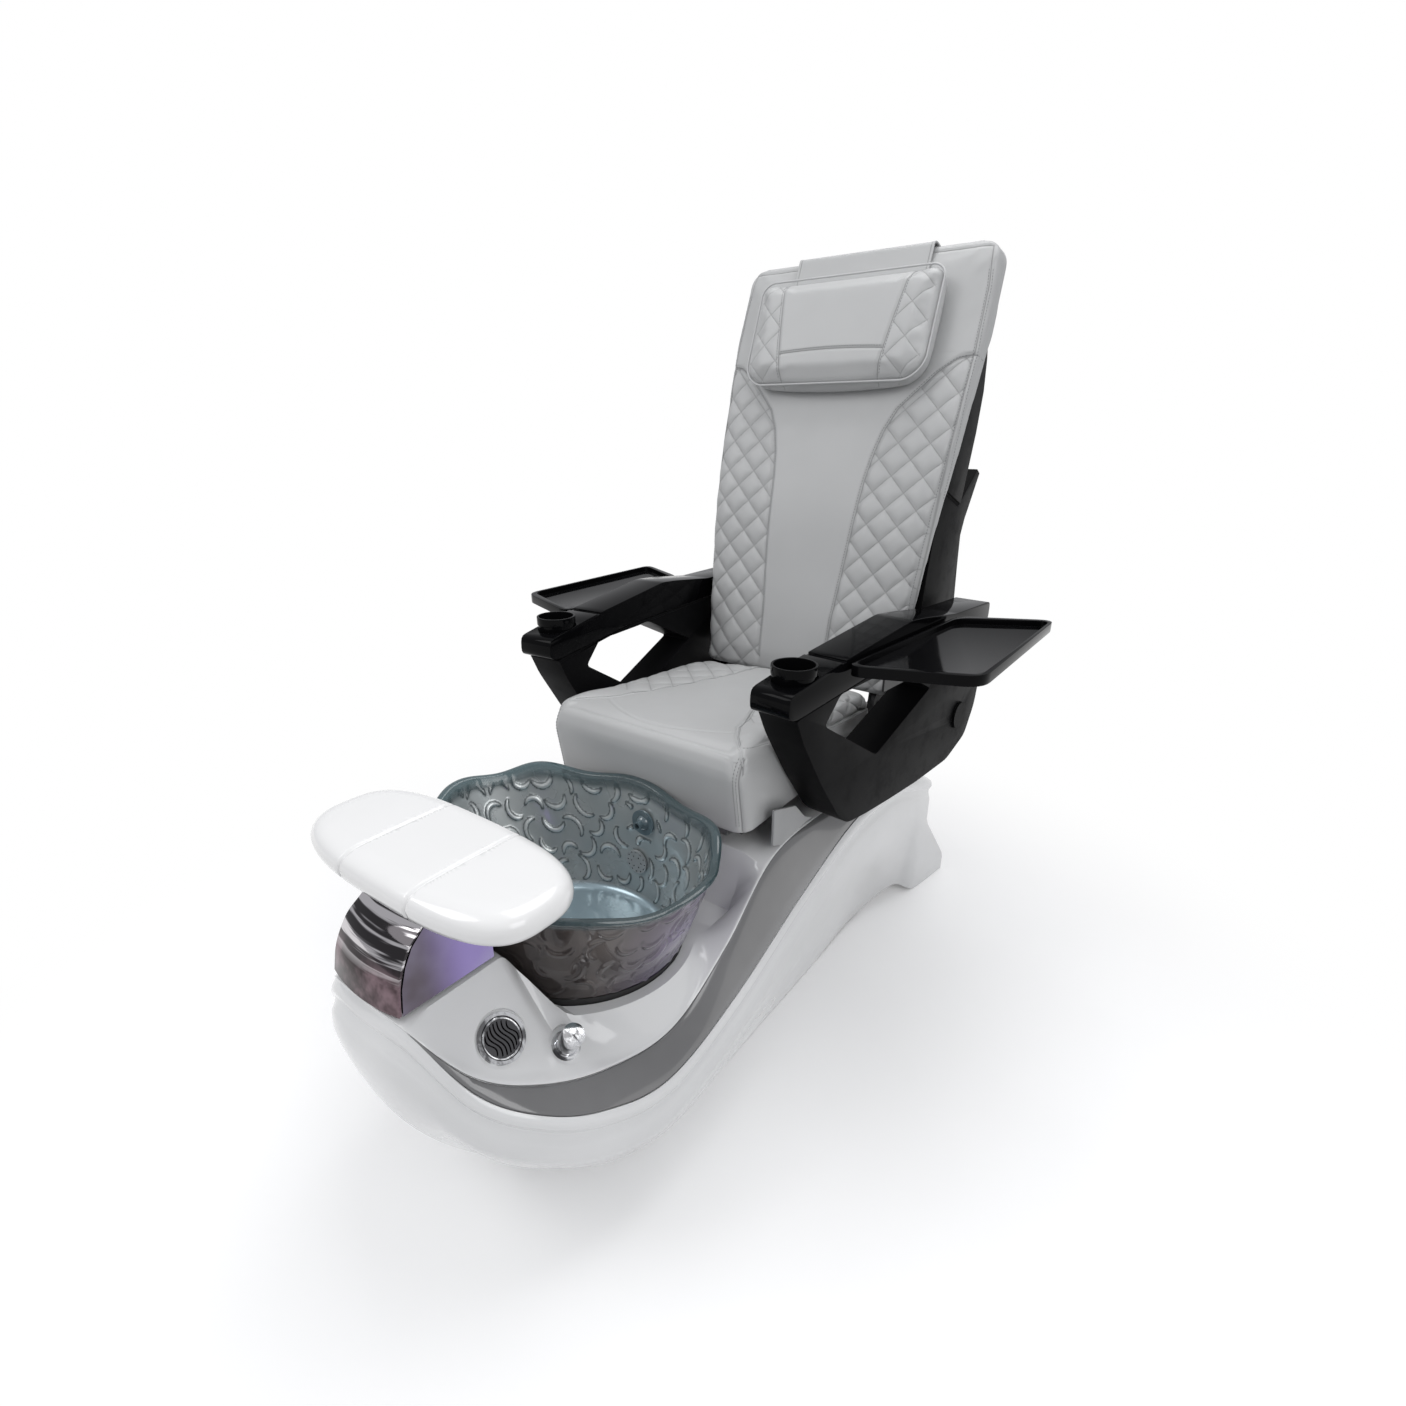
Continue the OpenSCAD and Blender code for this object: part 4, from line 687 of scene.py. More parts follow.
def tub_wall(z):
    """Half length, half width and squareness of the tub's wall at z."""
    f = np.clip((z - TUB_FLOOR) / (TUB_TOP - TUB_FLOOR), 0, 1)
    return (FOOT_A + (TUB_A - RIM_OUT - FOOT_A) * f ** 0.8,
            FOOT_B + (TUB_B - RIM_OUT - FOOT_B) * f ** 0.45, 2 + 0.15 * f)


def tub_ring(z, d, wave, count):
    """Ring of the tub's wall at z, moved out by d, with its share of the rim's waves."""
    q = np.linspace(0, 2 * math.pi, count, endpoint=False)
    a, b, n = tub_wall(z)
    x, y = superellipse(a + d, b + d, n, q)
    v = np.cos(8 * q)
    r = 1 + 0.016 * wave * v
    return np.stack([x * r, TUB_Y + y * r, z + 0.005 * wave * v + wave * 0.07 * y], 1)


def turned(profile, at, axis, count=96):
    """Rings of a profile of (radius, height) turned round an axis that starts at a point."""
    frame_turn = Vector((0, 0, 1)).rotation_difference(Vector(axis)).to_matrix()
    rings = []
    for t in np.linspace(0, 2 * math.pi, count, endpoint=False):
        rings.append([tuple(frame_turn @ Vector((r * math.cos(t), r * math.sin(t), h)) + Vector(at))
                      for r, h in profile])
    return np.array(rings)


def leaning(degrees):
    """Direction that leans this far from upright towards the left side."""
    return math.sin(math.radians(degrees)), 0, math.cos(math.radians(degrees))


TAP_AT, TAP_AXIS = (0.169, -0.535, 0.336), leaning(31)
SHOWER_AT, SHOWER_AXIS = (0.13, -0.61, 0.386), leaning(42)
ABOVE = 0.06


def bored(at, axis, low, high, radius):
    """Points and faces of a round cutter along an axis."""
    return skin(turned([(radius, low), (radius, high)], at, axis, 64).transpose(1, 0, 2))


def cut(made, cutters):
    """Takes each cutter, given as points and faces, out of the piece."""
    for points, faces in cutters:
        tool = piece("cutter", points, faces, gelcoat)
        boolean = made.modifiers.new("cut", "BOOLEAN")
        boolean.object = tool
        boolean.solver = "EXACT"
        baked(made)
        bpy.data.objects.remove(tool)


def open_below(mesh):
    """The moulding stands on its rim, so the faces that lie on the floor go."""
    with edited(mesh) as work:
        low = [face for face in work.faces if face.calc_center_median().z < 0.012 and face.normal.z < -0.8]
        bmesh.ops.delete(work, geom=low, context="FACES")
    print("underside opened:", len(low), "faces")


shell = piece("shell", *hull_mesh(), gelcoat, 26)
pocket = [tub_ring(z, 0.004, 0, 160) for z in np.linspace(0.28, 0.6, 9)]
COLUMN_X, COLUMN_Y0, COLUMN_Y1 = 0.0565, -0.6745, -0.5775
corners = ((-COLUMN_X, COLUMN_Y0), (COLUMN_X, COLUMN_Y0), (COLUMN_X, COLUMN_Y1), (-COLUMN_X, COLUMN_Y1))
column = np.array([[(x, y, z) for x, y in corners] for z in (0.3, 0.6)])
cut(shell, [skin(pocket), skin(column),
            bored(TAP_AT, TAP_AXIS, -0.001, ABOVE, 0.027),
            bored(SHOWER_AT, SHOWER_AXIS, -0.001, ABOVE, 0.037),
            bored(SHOWER_AT, SHOWER_AXIS, -0.075, 0.02, 0.0304)])
open_below(shell.data)
shade(shell.data, 26)
stands_for(shell, "base", "gelcoat_white", "base_shell")


# %% [markdown]
# ## The grey bands
# Each band is a long strip that lies in the groove, a little below its edges. It is
# swept along the same rows, with its four corners rounded.

# %% Bands
def band_mesh(mirror):
    """Points and faces of a band; mirror is 1 for the left one and -1 for the right."""
    rings = []
    for u in np.linspace(BAND_FROM + 0.012, BAND_TO - 0.02, 150):
        e, b = along(DECK, u, True), along(BAND, u, True) - [0, 0, 0.0007]
        w = unit(b - e)
        up = unit(np.cross(w, direction(DECK, u)))
        width = np.linalg.norm(b - e)
        inset = min(0.0042, width * 0.3)
        lift, low = -0.0006, -0.0052
        crown = 0.0012 * min(1, width / 0.03)
        row = [(inset, low), (inset, lift - 0.0016), (inset + 0.0004, lift - 0.0005),
               (inset + 0.0016, lift)]
        row += [(width * g, lift + crown * (1 - (2 * g - 1) ** 2)) for g in (0.25, 0.4, 0.5, 0.6, 0.75)]
        row += [(width - a, b) for a, b in row[3::-1]]
        rings.append([(e + w * a + up * b) * [mirror, 1, 1] for a, b in row])
    return skin(rings)


for s, mirror_x in (("left", 1), ("right", -1)):
    band = piece("band_" + s, *band_mesh(mirror_x), band_grey, 50)
    stands_for(band, "base", "accent_grey", "accent_band_" + s)


# %% [markdown]
# ## The tub
# The bowl is one wall of resin with a rolled, wavy rim. Raised crescents cover it
# inside and out. Each crescent is an arc that is thick in the middle and thin at
# its ends, and they sit on a staggered grid with a turn of their own. The height of
# the relief is worked out from the distance to the nearest arcs, so that it becomes
# real geometry.

# %% Tub relief
rng = np.random.default_rng(7)
ROWS, COLUMNS = 5, 29
LOWEST_ROW, ROW_GAP = 0.347, 0.041
REACH = math.radians(84)
RAISED_IN, RAISED_OUT = 0.0036, 0.0016
crescents = []
for row in range(ROWS):
    for place in range(COLUMNS):
        middle = (place + 0.5 * (row % 2) + rng.uniform(-0.1, 0.1)) / COLUMNS
        crescents.append((middle, LOWEST_ROW + ROW_GAP * row + rng.uniform(-0.005, 0.005),
                          rng.uniform(0, 2 * math.pi), rng.uniform(0.018, 0.024)))


def relief(share, z, around):
    """Height of the crescents, 0 to 1, at a share of the way round and a height z."""
    height = np.zeros_like(share)
    for middle, level, turn, radius in crescents:
        dx = (share - middle + 0.5) % 1 - 0.5
        x, y = dx * around, z - level
        x = x + 0.55 * radius * math.cos(turn)
        y = y + 0.55 * radius * math.sin(turn)
        near = (abs(x) < 0.045) & (abs(y) < 0.045)
        if not near.any():
            continue
        angle = (np.arctan2(y, x) - turn + math.pi) % (2 * math.pi) - math.pi
        f = np.clip(abs(angle) / REACH, 0, 1)
        width = 0.0044 * np.sqrt(1 - f ** 2) + 0.0008
        off = abs(np.hypot(x, y) - radius)
        bump = np.clip(1 - (off / width) ** 2, 0, 1) ** 0.8 * np.sqrt(1 - f ** 2)
        height = np.where(near, np.maximum(height, bump), height)
    return height


# %% [markdown]
# ## The tub's wall
# The wall is made of level rings: up the outside from the foot, over the rim, down
# the inside and across the floor. Each ring is moved out or in by the relief at its
# height. Bridging the two open ends closes the skin.

# %% Tub mesh
def clear_of_fittings(ring):
    """0 where a fitting sits on the wall, 1 away from them."""
    clear = np.ones(len(ring))
    for x, z, r in ((0.022, 0.478, 0.032), (0.006, 0.392, 0.03)):
        away = np.hypot(ring[:, 0] - x, ring[:, 2] - z)
        clear *= np.where(ring[:, 1] > TUB_Y, ramp(away, r, r + 0.006), 1)
    return clear


def tub_mesh(count=500):
    """Points, faces and marks of the tub. A row is (z, move out, waves, outer, rim)."""
    wall, top, base = 0.006, TUB_TOP, TUB_FLOOR - 0.008
    foot = ((0, -0.022), (0.001, -0.012), (0.005, -0.005), (0.011, -0.001))
    rows = [(base + up, out, 0, 1, 0) for up, out in foot]
    share = [(base + (top - base) * f, f) for f in np.linspace(0.07, 0.93, 70)]
    rows += [(z, 0, f ** 3, 1, ramp(f, 0.9, 0.97)) for z, f in share]
    rows += [(top - 0.0095 + 0.0085 * (1 - math.cos(t)) / 2, 0.0075 * math.sin(t / 2), 1, 1, 1)
             for t in np.linspace(0.2, math.pi, 4)]
    rows += [(top + 0.0035 * math.sin(t) - 0.001, 0.0005 + 0.0075 * math.cos(t), 1, 0.5, 1)
             for t in np.linspace(0.15, math.pi - 0.2, 7)]
    rows += [(z, -wall, f ** 3, 0, ramp(f, 0.88, 0.96)) for z, f in share[::-1]]
    rows += [(TUB_FLOOR + 0.014 * (1 - math.sin(t)), -wall - 0.014 * (1 - math.cos(t)), 0, 0, 0)
             for t in np.linspace(0.15, math.pi / 2, 6)]
    rows += [(TUB_FLOOR - 0.0015 * g, -wall - 0.014 - 0.13 * g, 0, 0, 0) for g in (0.25, 0.5, 0.75, 1)]
    rings, relief_rows = [], []
    q = np.linspace(0, 1, count, endpoint=False)
    for z, d, wave, outer, rim in rows:
        ring = tub_ring(z, d, wave, count)
        out = ring - [0, TUB_Y, 0]
        out[:, 2] = 0
        out /= np.linalg.norm(out, axis=1)[:, None]
        quiet = (1 - rim) * float(ramp(z, 0.322, 0.332) * (1 - ramp(z, 0.514, 0.524)))
        tall = relief(q, np.full(count, z), 1.42) * quiet * clear_of_fittings(ring)
        rings.append(ring + out * (tall * (RAISED_OUT if outer == 1 else -RAISED_IN))[:, None])
        relief_rows.append(tall)
    points, faces = skin(rings, ends=False)
    flat = np.array([[outer, rim] for z, d, wave, outer, rim in rows])
    marks = {"outer": np.repeat(flat[:, 0], count), "rim": np.repeat(flat[:, 1], count),
             "relief": np.concatenate(relief_rows)}
    return points, faces, marks


points, faces, marks = tub_mesh()
tub = placed("tub_bowl", points, [], faces)
note(tub.data, **marks)
painted(tub.data, tub_resin)
with edited(tub.data) as work:
    borders = [edge for edge in work.edges if len(edge.link_faces) == 1]
    bmesh.ops.bridge_loops(work, edges=borders)
    bmesh.ops.recalc_face_normals(work, faces=work.faces)
shade(tub.data, 60)
stands_for(tub, "base", "tub_resin", "tub")

# %% [markdown]
# ## The hand shower's bezel
# The dark face of the hand shower sits in a chrome ring. A ring like this is a
# profile turned round an axis: a few points of its section, given by how far they
# lie inside the face's edge and how high, repeated round the shower's own axis.

# %% Shower bezel
FACE_R = 0.0274
profile = [(0.0034, 0.0017), (0.003, 0.003), (0.0022, 0.0036), (0.001, 0.0034), (0.0002, 0.0026),
           (0.0002, -0.003), (0.0008, -0.003), (0.0008, 0.0017)]
ring = [(FACE_R - inward, height) for inward, height in profile]
bezel = piece("shower_bezel", *skin(turned(ring, SHOWER_AT, SHOWER_AXIS), loop=True), chrome, 50)
stands_for(bezel, "shower", "chrome")

# %% [markdown]
# ## The footrest pad
# A moulded pad with a soft, rounded edge all round. Two shallow grooves cross it,
# which divide its white skin into three fields.

# %% Footrest pad
PAD_A, PAD_B, PAD_Y, PAD_Z = 0.221, 0.094, -0.588, 0.582
PAD_TOP = PAD_Z + 0.0442
GROOVE_X, GROOVE_HALF = 0.072, 0.004


def pad_rings(count=256):
    """Rings of the pad. The profile is (height, move in, lean to the back)."""
    profile = [(0, 0.024, 0), (0.001, 0.016, 0), (0.004, 0.008, 0), (0.009, 0.003, 0), (0.015, 0.0008, 0),
               (0.021, 0, 0), (0.026, 0.0004, 0), (0.031, 0.002, 0.0005), (0.0355, 0.005, 0.001),
               (0.039, 0.009, 0.002), (0.0415, 0.014, 0.003), (0.0432, 0.02, 0.004),
               (0.0442, 0.028, 0.005)]
    rings = []
    q = np.linspace(0, 2 * math.pi, count, endpoint=False)
    for z, d, lean in profile:
        x, y = superellipse(PAD_A - d, PAD_B - d, 3, q)
        rings.append(np.stack([x, PAD_Y + y + lean, np.full(count, PAD_Z + z)], 1))
    edge = rings[-1]
    for g in np.linspace(0, 1, 16)[1:-1]:
        ring = edge + ([0, PAD_Y + 0.005, PAD_TOP] - edge) * g
        ring[:, 2] = PAD_TOP + 0.0008 * (1 - (1 - g) ** 2)
        rings.append(ring)
    return np.array(rings)


pad = piece("footrest_skin", *skin(pad_rings()), pad_white, 60)
cuts = [-GROOVE_HALF, -0.0025, -0.0012, 0, 0.0012, 0.0025, GROOVE_HALF]
with edited(pad.data) as work:
    for x in [s * GROOVE_X + d for s in (-1, 1) for d in cuts]:
        everything = work.verts[:] + work.edges[:] + work.faces[:]
        bmesh.ops.bisect_plane(work, geom=everything, plane_co=(x, 0, 0), plane_no=(1, 0, 0))
    work.normal_update()
    for v in work.verts:
        away = abs(abs(v.co.x) - GROOVE_X)
        if away < GROOVE_HALF and v.co.z > PAD_Z + 0.003:
            v.co -= v.normal * 0.0032 * (1 - (away / GROOVE_HALF) ** 2) ** 2
shade(pad.data, 60)
stands_for(pad, "footrest", "pad_white", "footrest_pad")

# %% [markdown]
# ## The column's front
# The front of the footrest column is a bent mirror plate that curves both ways.
# A finer sweep of the same edge curve gives clean, flowing reflections.

# %% Mirror front
EDGE = np.array([[0, 8], [6, 42], [16, 67], [29, 87], [50, 104], [62, 119]]) / 1000
EDGE = EDGE + [-0.71, RIDGE]


def mirror_rings():
    rings = []
    for u in np.linspace(0, len(EDGE) - 1, 60):
        y, z = along(EDGE, u)
        f = np.linspace(-1, 1, 41)
        x = (0.076 - 0.1 * (z - RIDGE) - 0.001) * f
        front = np.stack([x, y - 0.009 * (1 - f * f), np.full(41, z)], 1)
        rings.append(np.vstack([front, front[::-1] + [0, 0.0035, 0]]))
    return rings


front = piece("column_front", *skin(mirror_rings()), mirror_panel, 40)
stands_for(front, "base", "mirror_panel", "pillar_front")

# %% [markdown]
# ## How the cushions are made
# Upholstery is foam under a sewn skin. Each cushion starts as a slightly small solid
# with the right outline, is remeshed into even squares, and is blown up by the Cloth
# solver's pressure, with gravity off. No point may move further than a cap, so the
# cushion can't outgrow its place. The smoothing that follows draws it in a little,
# and the seat and the back are then stretched to their full outline. Seams and
# quilting come last, as dents that follow the distance to each line.

# %% Swelling
def coordinates(mesh):
    flat = np.empty(len(mesh.vertices) * 3)
    mesh.vertices.foreach_get("co", flat)
    return flat.reshape(-1, 3)


def move_to(mesh, points):
    mesh.vertices.foreach_set("co", np.asarray(points).ravel())
    mesh.update()


def normals(mesh):
    flat = np.empty(len(mesh.vertices) * 3)
    mesh.vertex_normals.foreach_get("vector", flat)
    return flat.reshape(-1, 3)


def swollen(made, voxel, cap, fixed):
    """Blows up a solid. What fixed(points) marks is stapled down and doesn't move."""
    remesh = made.modifiers.new("even", "REMESH")
    remesh.mode = "VOXEL"
    remesh.voxel_size = voxel
    baked(made)
    start = coordinates(made.data)
    stapled = made.vertex_groups.new(name="stapled")
    stapled.add([int(i) for i in np.nonzero(fixed(start))[0]], 1.0, "REPLACE")
    cloth = made.modifiers.new("foam", "CLOTH")
    cloth.settings.quality = 4
    cloth.settings.vertex_group_mass = "stapled"
    cloth.settings.use_pressure = True
    cloth.settings.uniform_pressure_force = 4
    cloth.settings.effector_weights.gravity = 0
    for step in range(1, 21):
        bpy.context.scene.frame_set(step)
    baked(made)
    bpy.context.scene.frame_set(1)
    step = coordinates(made.data) - start
    size = np.linalg.norm(step, axis=1)[:, None]
    move_to(made.data, start + step * np.minimum(1, cap / np.maximum(size, 1e-9)))
    even = made.modifiers.new("settle", "SMOOTH")
    even.factor = 0.5
    even.iterations = 7
    smooth = made.modifiers.new("fine", "SUBSURF")
    smooth.levels = smooth.render_levels = 1
    baked(made)
    print(made.name, "swollen:", len(made.data.vertices), "points")


def stretched(values, low, high):
    """Values spread evenly so that they just reach from low to high."""
    return low + (values - values.min()) * (high - low) / (values.max() - values.min())


def dented(made, depth, **values):
    """Moves the points in by depth along their normals, and notes the finish's values."""
    mesh = made.data
    move_to(mesh, coordinates(mesh) - normals(mesh) * depth[:, None])
    # The deeper a point is dented, the more painted shade the finish lays on it.
    note(mesh, valley=np.clip(depth / 0.005, 0, 1), **values)
    painted(mesh, vinyl_grey)
    mesh.polygons.foreach_set("use_smooth", [True] * len(mesh.polygons))


# %% [markdown]
# ## Rows of stitches
# A seam is sewn with short stitches at an even pitch. Geometry Nodes lay them: the
# path becomes a curve, is resampled by the pitch, and a small rounded stitch stands
# on each point, turned along the path.

# %% Stitch tree
def stitch_tree():
    tree = bpy.data.node_groups.new("stitch_row", "GeometryNodeTree")
    face = tree.interface
    face.new_socket("Geometry", in_out="INPUT", socket_type="NodeSocketGeometry")
    for name, value in (("Pitch", 0.006), ("Stitch length", 0.0042), ("Thread", 0.0006)):
        face.new_socket(name, in_out="INPUT", socket_type="NodeSocketFloat").default_value = value
    face.new_socket("Finish", in_out="INPUT", socket_type="NodeSocketMaterial")
    face.new_socket("Geometry", in_out="OUTPUT", socket_type="NodeSocketGeometry")

    def add(kind, **settings):
        made = tree.nodes.new(kind)
        for key, value in settings.items():
            setattr(made, key, value)
        return made

    given, result = add("NodeGroupInput"), add("NodeGroupOutput")
    curve = add("GeometryNodeMeshToCurve")
    even = add("GeometryNodeResampleCurve", mode="LENGTH")
    along_path = add("GeometryNodeInputTangent")
    turn = add("FunctionNodeAlignRotationToVector", axis="Z")
    bead = add("GeometryNodeMeshUVSphere")
    bead.inputs["Segments"].default_value = 6
    bead.inputs["Rings"].default_value = 4
    bead.inputs["Radius"].default_value = 1.0
    size = add("ShaderNodeCombineXYZ")
    half = add("ShaderNodeMath", operation="MULTIPLY")
    half.inputs[1].default_value = 0.5
    place = add("GeometryNodeInstanceOnPoints")
    real = add("GeometryNodeRealizeInstances")
    paint = add("GeometryNodeSetMaterial")
    smooth = add("GeometryNodeSetShadeSmooth")
    link = tree.links.new
    link(given.outputs["Geometry"], curve.inputs[0])
    link(curve.outputs[0], even.inputs[0])
    link(given.outputs["Pitch"], even.inputs["Length"])
    link(along_path.outputs[0], turn.inputs["Vector"])
    link(given.outputs["Stitch length"], half.inputs[0])
    link(given.outputs["Thread"], size.inputs[0])
    link(given.outputs["Thread"], size.inputs[1])
    link(half.outputs[0], size.inputs[2])
    link(even.outputs[0], place.inputs["Points"])
    link(bead.outputs["Mesh"], place.inputs["Instance"])
    link(turn.outputs[0], place.inputs["Rotation"])
    link(size.outputs[0], place.inputs["Scale"])
    link(place.outputs[0], real.inputs[0])
    link(real.outputs[0], smooth.inputs[0])
    link(smooth.outputs[0], paint.inputs[0])
    link(given.outputs["Finish"], paint.inputs["Material"])
    link(paint.outputs[0], result.inputs[0])
    return tree


STITCHES = stitch_tree()


def stitched(name, paths, body):
    """One mesh of stitches along open paths, each a list of points."""
    points, edges = [], []
    for path in paths:
        first = len(points)
        points += path
        edges += [(first + i, first + i + 1) for i in range(len(path) - 1)]
    made = placed(name, points, edges, [])
    rows = made.modifiers.new("stitches", "NODES")
    rows.node_group = STITCHES
    for item in STITCHES.interface.items_tree:
        if item.name == "Finish":
            rows[item.identifier] = thread
    baked(made)
    stands_for(made, body, "vinyl_grey")


def laid(cushion, path, side, lift=0.0003):
    """A path dropped onto a cushion's surface, looking against a direction."""
    tree = BVHTree.FromPolygons([v.co for v in cushion.data.vertices],
                                [tuple(p.vertices) for p in cushion.data.polygons])
    found = []
    for p in path:
        away = Vector(side(p) if callable(side) else side).normalized()
        hit = tree.ray_cast(Vector(p) + away * 0.06, -away, 0.12)
        if hit[0] is not None:
            found.append(hit[0] + away * lift)
    return found


def piping(name, path, radius, body, closed=False):
    """A round cord along a path. Each ring's side is the last one's, squared to the path."""
    path = np.array([tuple(p) for p in path])
    rings = []
    n = len(path)
    for i in range(n):
        a = path[(i - 1) % n] if closed else path[max(0, i - 1)]
        b = path[(i + 1) % n] if closed else path[min(n - 1, i + 1)]
        ahead = Vector(b - a).normalized()
        side = side - ahead * side.dot(ahead) if i else ahead.orthogonal()
        side.normalize()
        other = ahead.cross(side)
        rings.append([tuple(Vector(path[i]) + (side * math.cos(t) + other * math.sin(t)) * radius)
                      for t in np.linspace(0, 2 * math.pi, 8, endpoint=False)])
    stands_for(piece(name, *skin(rings, loop=closed), piping_grey, 60), body, "vinyl_grey")


# %% [markdown]
# ## The seat cushion
# The seat is a thick block with two raised bolsters at its front corners. A strip
# on each side is quilted and wraps over the edge. Its outline, its crown and its
# bolsters follow the CAD solid, a little smaller before it swells.

# %% Seat solid
SEAT_HALF_W, SEAT_Y0, SEAT_LEN, SEAT_Z, SEAT_T = 0.222, -0.163, 0.505, 0.5034, 0.148
SEAT_MID = SEAT_Y0 + SEAT_LEN / 2
SEAT_SHRINK = 0.004
SEAT_FOOT, SEAT_REACH, SEAT_FRONT, SEAT_REAR = 0.5048, 0.2255, -0.179, 0.346
CORNER_X = 0.2105
RISING = ((190, -6), (100, -6), (40, -6), (6, -6), (0, -2), (-2, 22), (-3, 62))
CLOSING = ((-1, 30), (0, 22), (3, 12), (8, 5), (14, 2), (26, 0), (40, 0), (70, 0), (110, 0),
           (150, 0), (195, 0))


def strip_x(y):
    """Half width of the seat's plain middle, where the quilted strip starts."""
    v = [0, 24, 60, 100, 150, 185, 233, 284, 337, 392, 505]
    x = [214, 188, 160, 137, 124, 110, 94, 81, 66, 52, 44]
    return np.interp((y - SEAT_Y0) * 1000, v, x) / 1000


def seat_crown(x, y):
    """Height of the seat's top before it swells, with its bolsters."""
    v = (y - SEAT_Y0) * 1000
    bolster = np.interp(v, [60, 165, 265, 400, 480], [9, 4, 0, -2, -12]) / 1000
    return (SEAT_Z + SEAT_T - 0.044 * (y - SEAT_Y0)
            + bolster * ramp(abs(x), strip_x(y), SEAT_HALF_W - 0.032))


def round_rect(w, l, r, arc=8, side=28):
    """Loop of a rectangle with round corners, with the same count for every size."""
    loop = []
    for k, (cx, cy) in enumerate(((w - r, l - r), (r - w, l - r), (r - w, r - l), (w - r, r - l))):
        turn = [math.pi / 2 * (k + i / arc) for i in range(arc + 1)]
        loop.append(np.array([(cx + r * math.cos(t), cy + r * math.sin(t)) for t in turn]))
    rows = []
    for k in range(4):
        rows.append(loop[k])
        a, b = loop[k][-1], loop[(k + 1) % 4][0]
        rows.append(np.array([a + (b - a) * i / side for i in range(1, side)]))
    return np.vstack(rows)


def seat_ring(d, z, rising):
    """Loop moved in by d mm, z mm above the foot while rising and below the crown after."""
    d = d / 1000
    x, y = round_rect(SEAT_HALF_W - d - SEAT_SHRINK / 2, SEAT_LEN / 2 - d - SEAT_SHRINK / 2,
                      max(0.008, 0.026 - min(0, d))).T
    front = ramp(-y, SEAT_LEN / 2 - 0.06, SEAT_LEN / 2 - 0.02)
    place = SEAT_MID + y + max(0, d) * 0.7 * front
    z = np.full(len(x), SEAT_Z + z / 1000) if rising else (
        seat_crown(x, place) - SEAT_SHRINK - z / 1000 * (1 + 0.6 * front))
    return np.stack([x, place - 0.014 * front * ramp(z - SEAT_Z, 0.044, 0.084), z], 1)


seat_rings = [seat_ring(d, z, True) for d, z in RISING] + [seat_ring(d, z, False) for d, z in CLOSING]
seat = piece("seat_pad", *skin(seat_rings), vinyl_grey)
swollen(seat, 0.005, 0.004, lambda p: (p[:, 2] < SEAT_Z + 0.022) | (p[:, 1] < SEAT_Y0 + 0.012))
p = coordinates(seat.data)
p[:, 2] = np.maximum(p[:, 2], SEAT_FOOT)
p[:, 0] = stretched(p[:, 0], -SEAT_REACH, SEAT_REACH)
p[:, 1] = stretched(p[:, 1], SEAT_FRONT, SEAT_REAR)
move_to(seat.data, p)


# %% [markdown]
# ## Seams and quilting of the seat
# A sewn line pulls the skin down to the foam, deepest on the seam itself. The depth
# at each point is worked out from its distances to the seams and to two sets of
# crossing lines. Real dents are made, not bump alone, so that they also show in the
# outline.

# %% Seat seams
def arch(distance, reach):
    """Height of a stuffed field at a distance from its seam: 0 there, 1 from reach on."""
    t = np.clip(distance / reach, 0, 1)
    return np.sqrt(1 - (1 - t) ** 2)


def diamonds(run_a, run_b, reach):
    """Height of the quilted fields between two crossing sets of lines."""
    gap_a, gap_b = (abs(run - np.round(run)) * QUILT_GAP for run in (run_a, run_b))
    return arch(gap_a, reach) * arch(gap_b, reach)


def sewn(distance, depth, reach):
    """Depth of the dent along a seam: full on the seam, nothing from reach on."""
    return depth * (1 - ramp(abs(distance), 0, reach))


def across(value, slope):
    """Distance square to a line of this slope, from the distance along one axis."""
    return value / np.sqrt(1 + slope ** 2)


def seat_seams(mesh):
    """Depth of the seams and the quilting at each point, and what the finish reads."""
    p, n = coordinates(mesh), normals(mesh)
    x, y, z = abs(p[:, 0]), p[:, 1], p[:, 2]
    top = n[:, 2]
    out = abs(n[:, 0])
    h = strip_x(y)
    slope = (strip_x(y + 0.004) - strip_x(y - 0.004)) / 0.008
    strip = across(x - h, slope)
    side = z - np.interp(y, [-0.15, -0.128, -0.097, 0.151, 0.257, 0.34],
                         [0.657, 0.655, 0.649, 0.598, 0.59, 0.58])
    lid = ramp(top, 0.1, 0.35)
    wall = ramp(out, 0.45, 0.7) * (y > -0.157)
    seam_a = np.where((top > 0.2) & (y > -0.166), strip, np.where(out > 0.5, side, 0.02))
    arc = across(y + 0.14 - 2.4 * x ** 2, 4.8 * x)
    arc = np.where((x < 0.152) & (top > 0.3), arc, 0.02)
    corner = np.where((n[:, 1] < -0.35) & (z < 0.645) & (top < 0.6), x - CORNER_X, 0.02)
    over = x + np.maximum(0, seat_crown(0.2, y) - z) * (out > 0.5)
    run_a, run_b = (over + y) / QUILT + 0.2, (over - y) / QUILT + 0.35
    inside = np.minimum(strip, np.where(out > 0.4, side, 0.02))
    inside = np.minimum(inside, (y + 0.03) * 0.7)
    field = diamonds(run_a, run_b, 0.02) * arch(np.maximum(inside, 0), 0.01)
    depth = 0.0042 * ramp(inside, 0, 0.002) * (1 - field)
    depth += sewn(strip, 0.0026, 0.006) * lid
    depth += sewn(side, 0.0026, 0.006) * wall * ramp(y, -0.157, -0.14)
    depth += sewn(arc, 0.0013, 0.006)
    depth += sewn(corner, 0.0022, 0.005)
    return depth, dict(run_a=run_a, run_b=run_b, zone=inside, seam_a=seam_a, seam_b=corner)


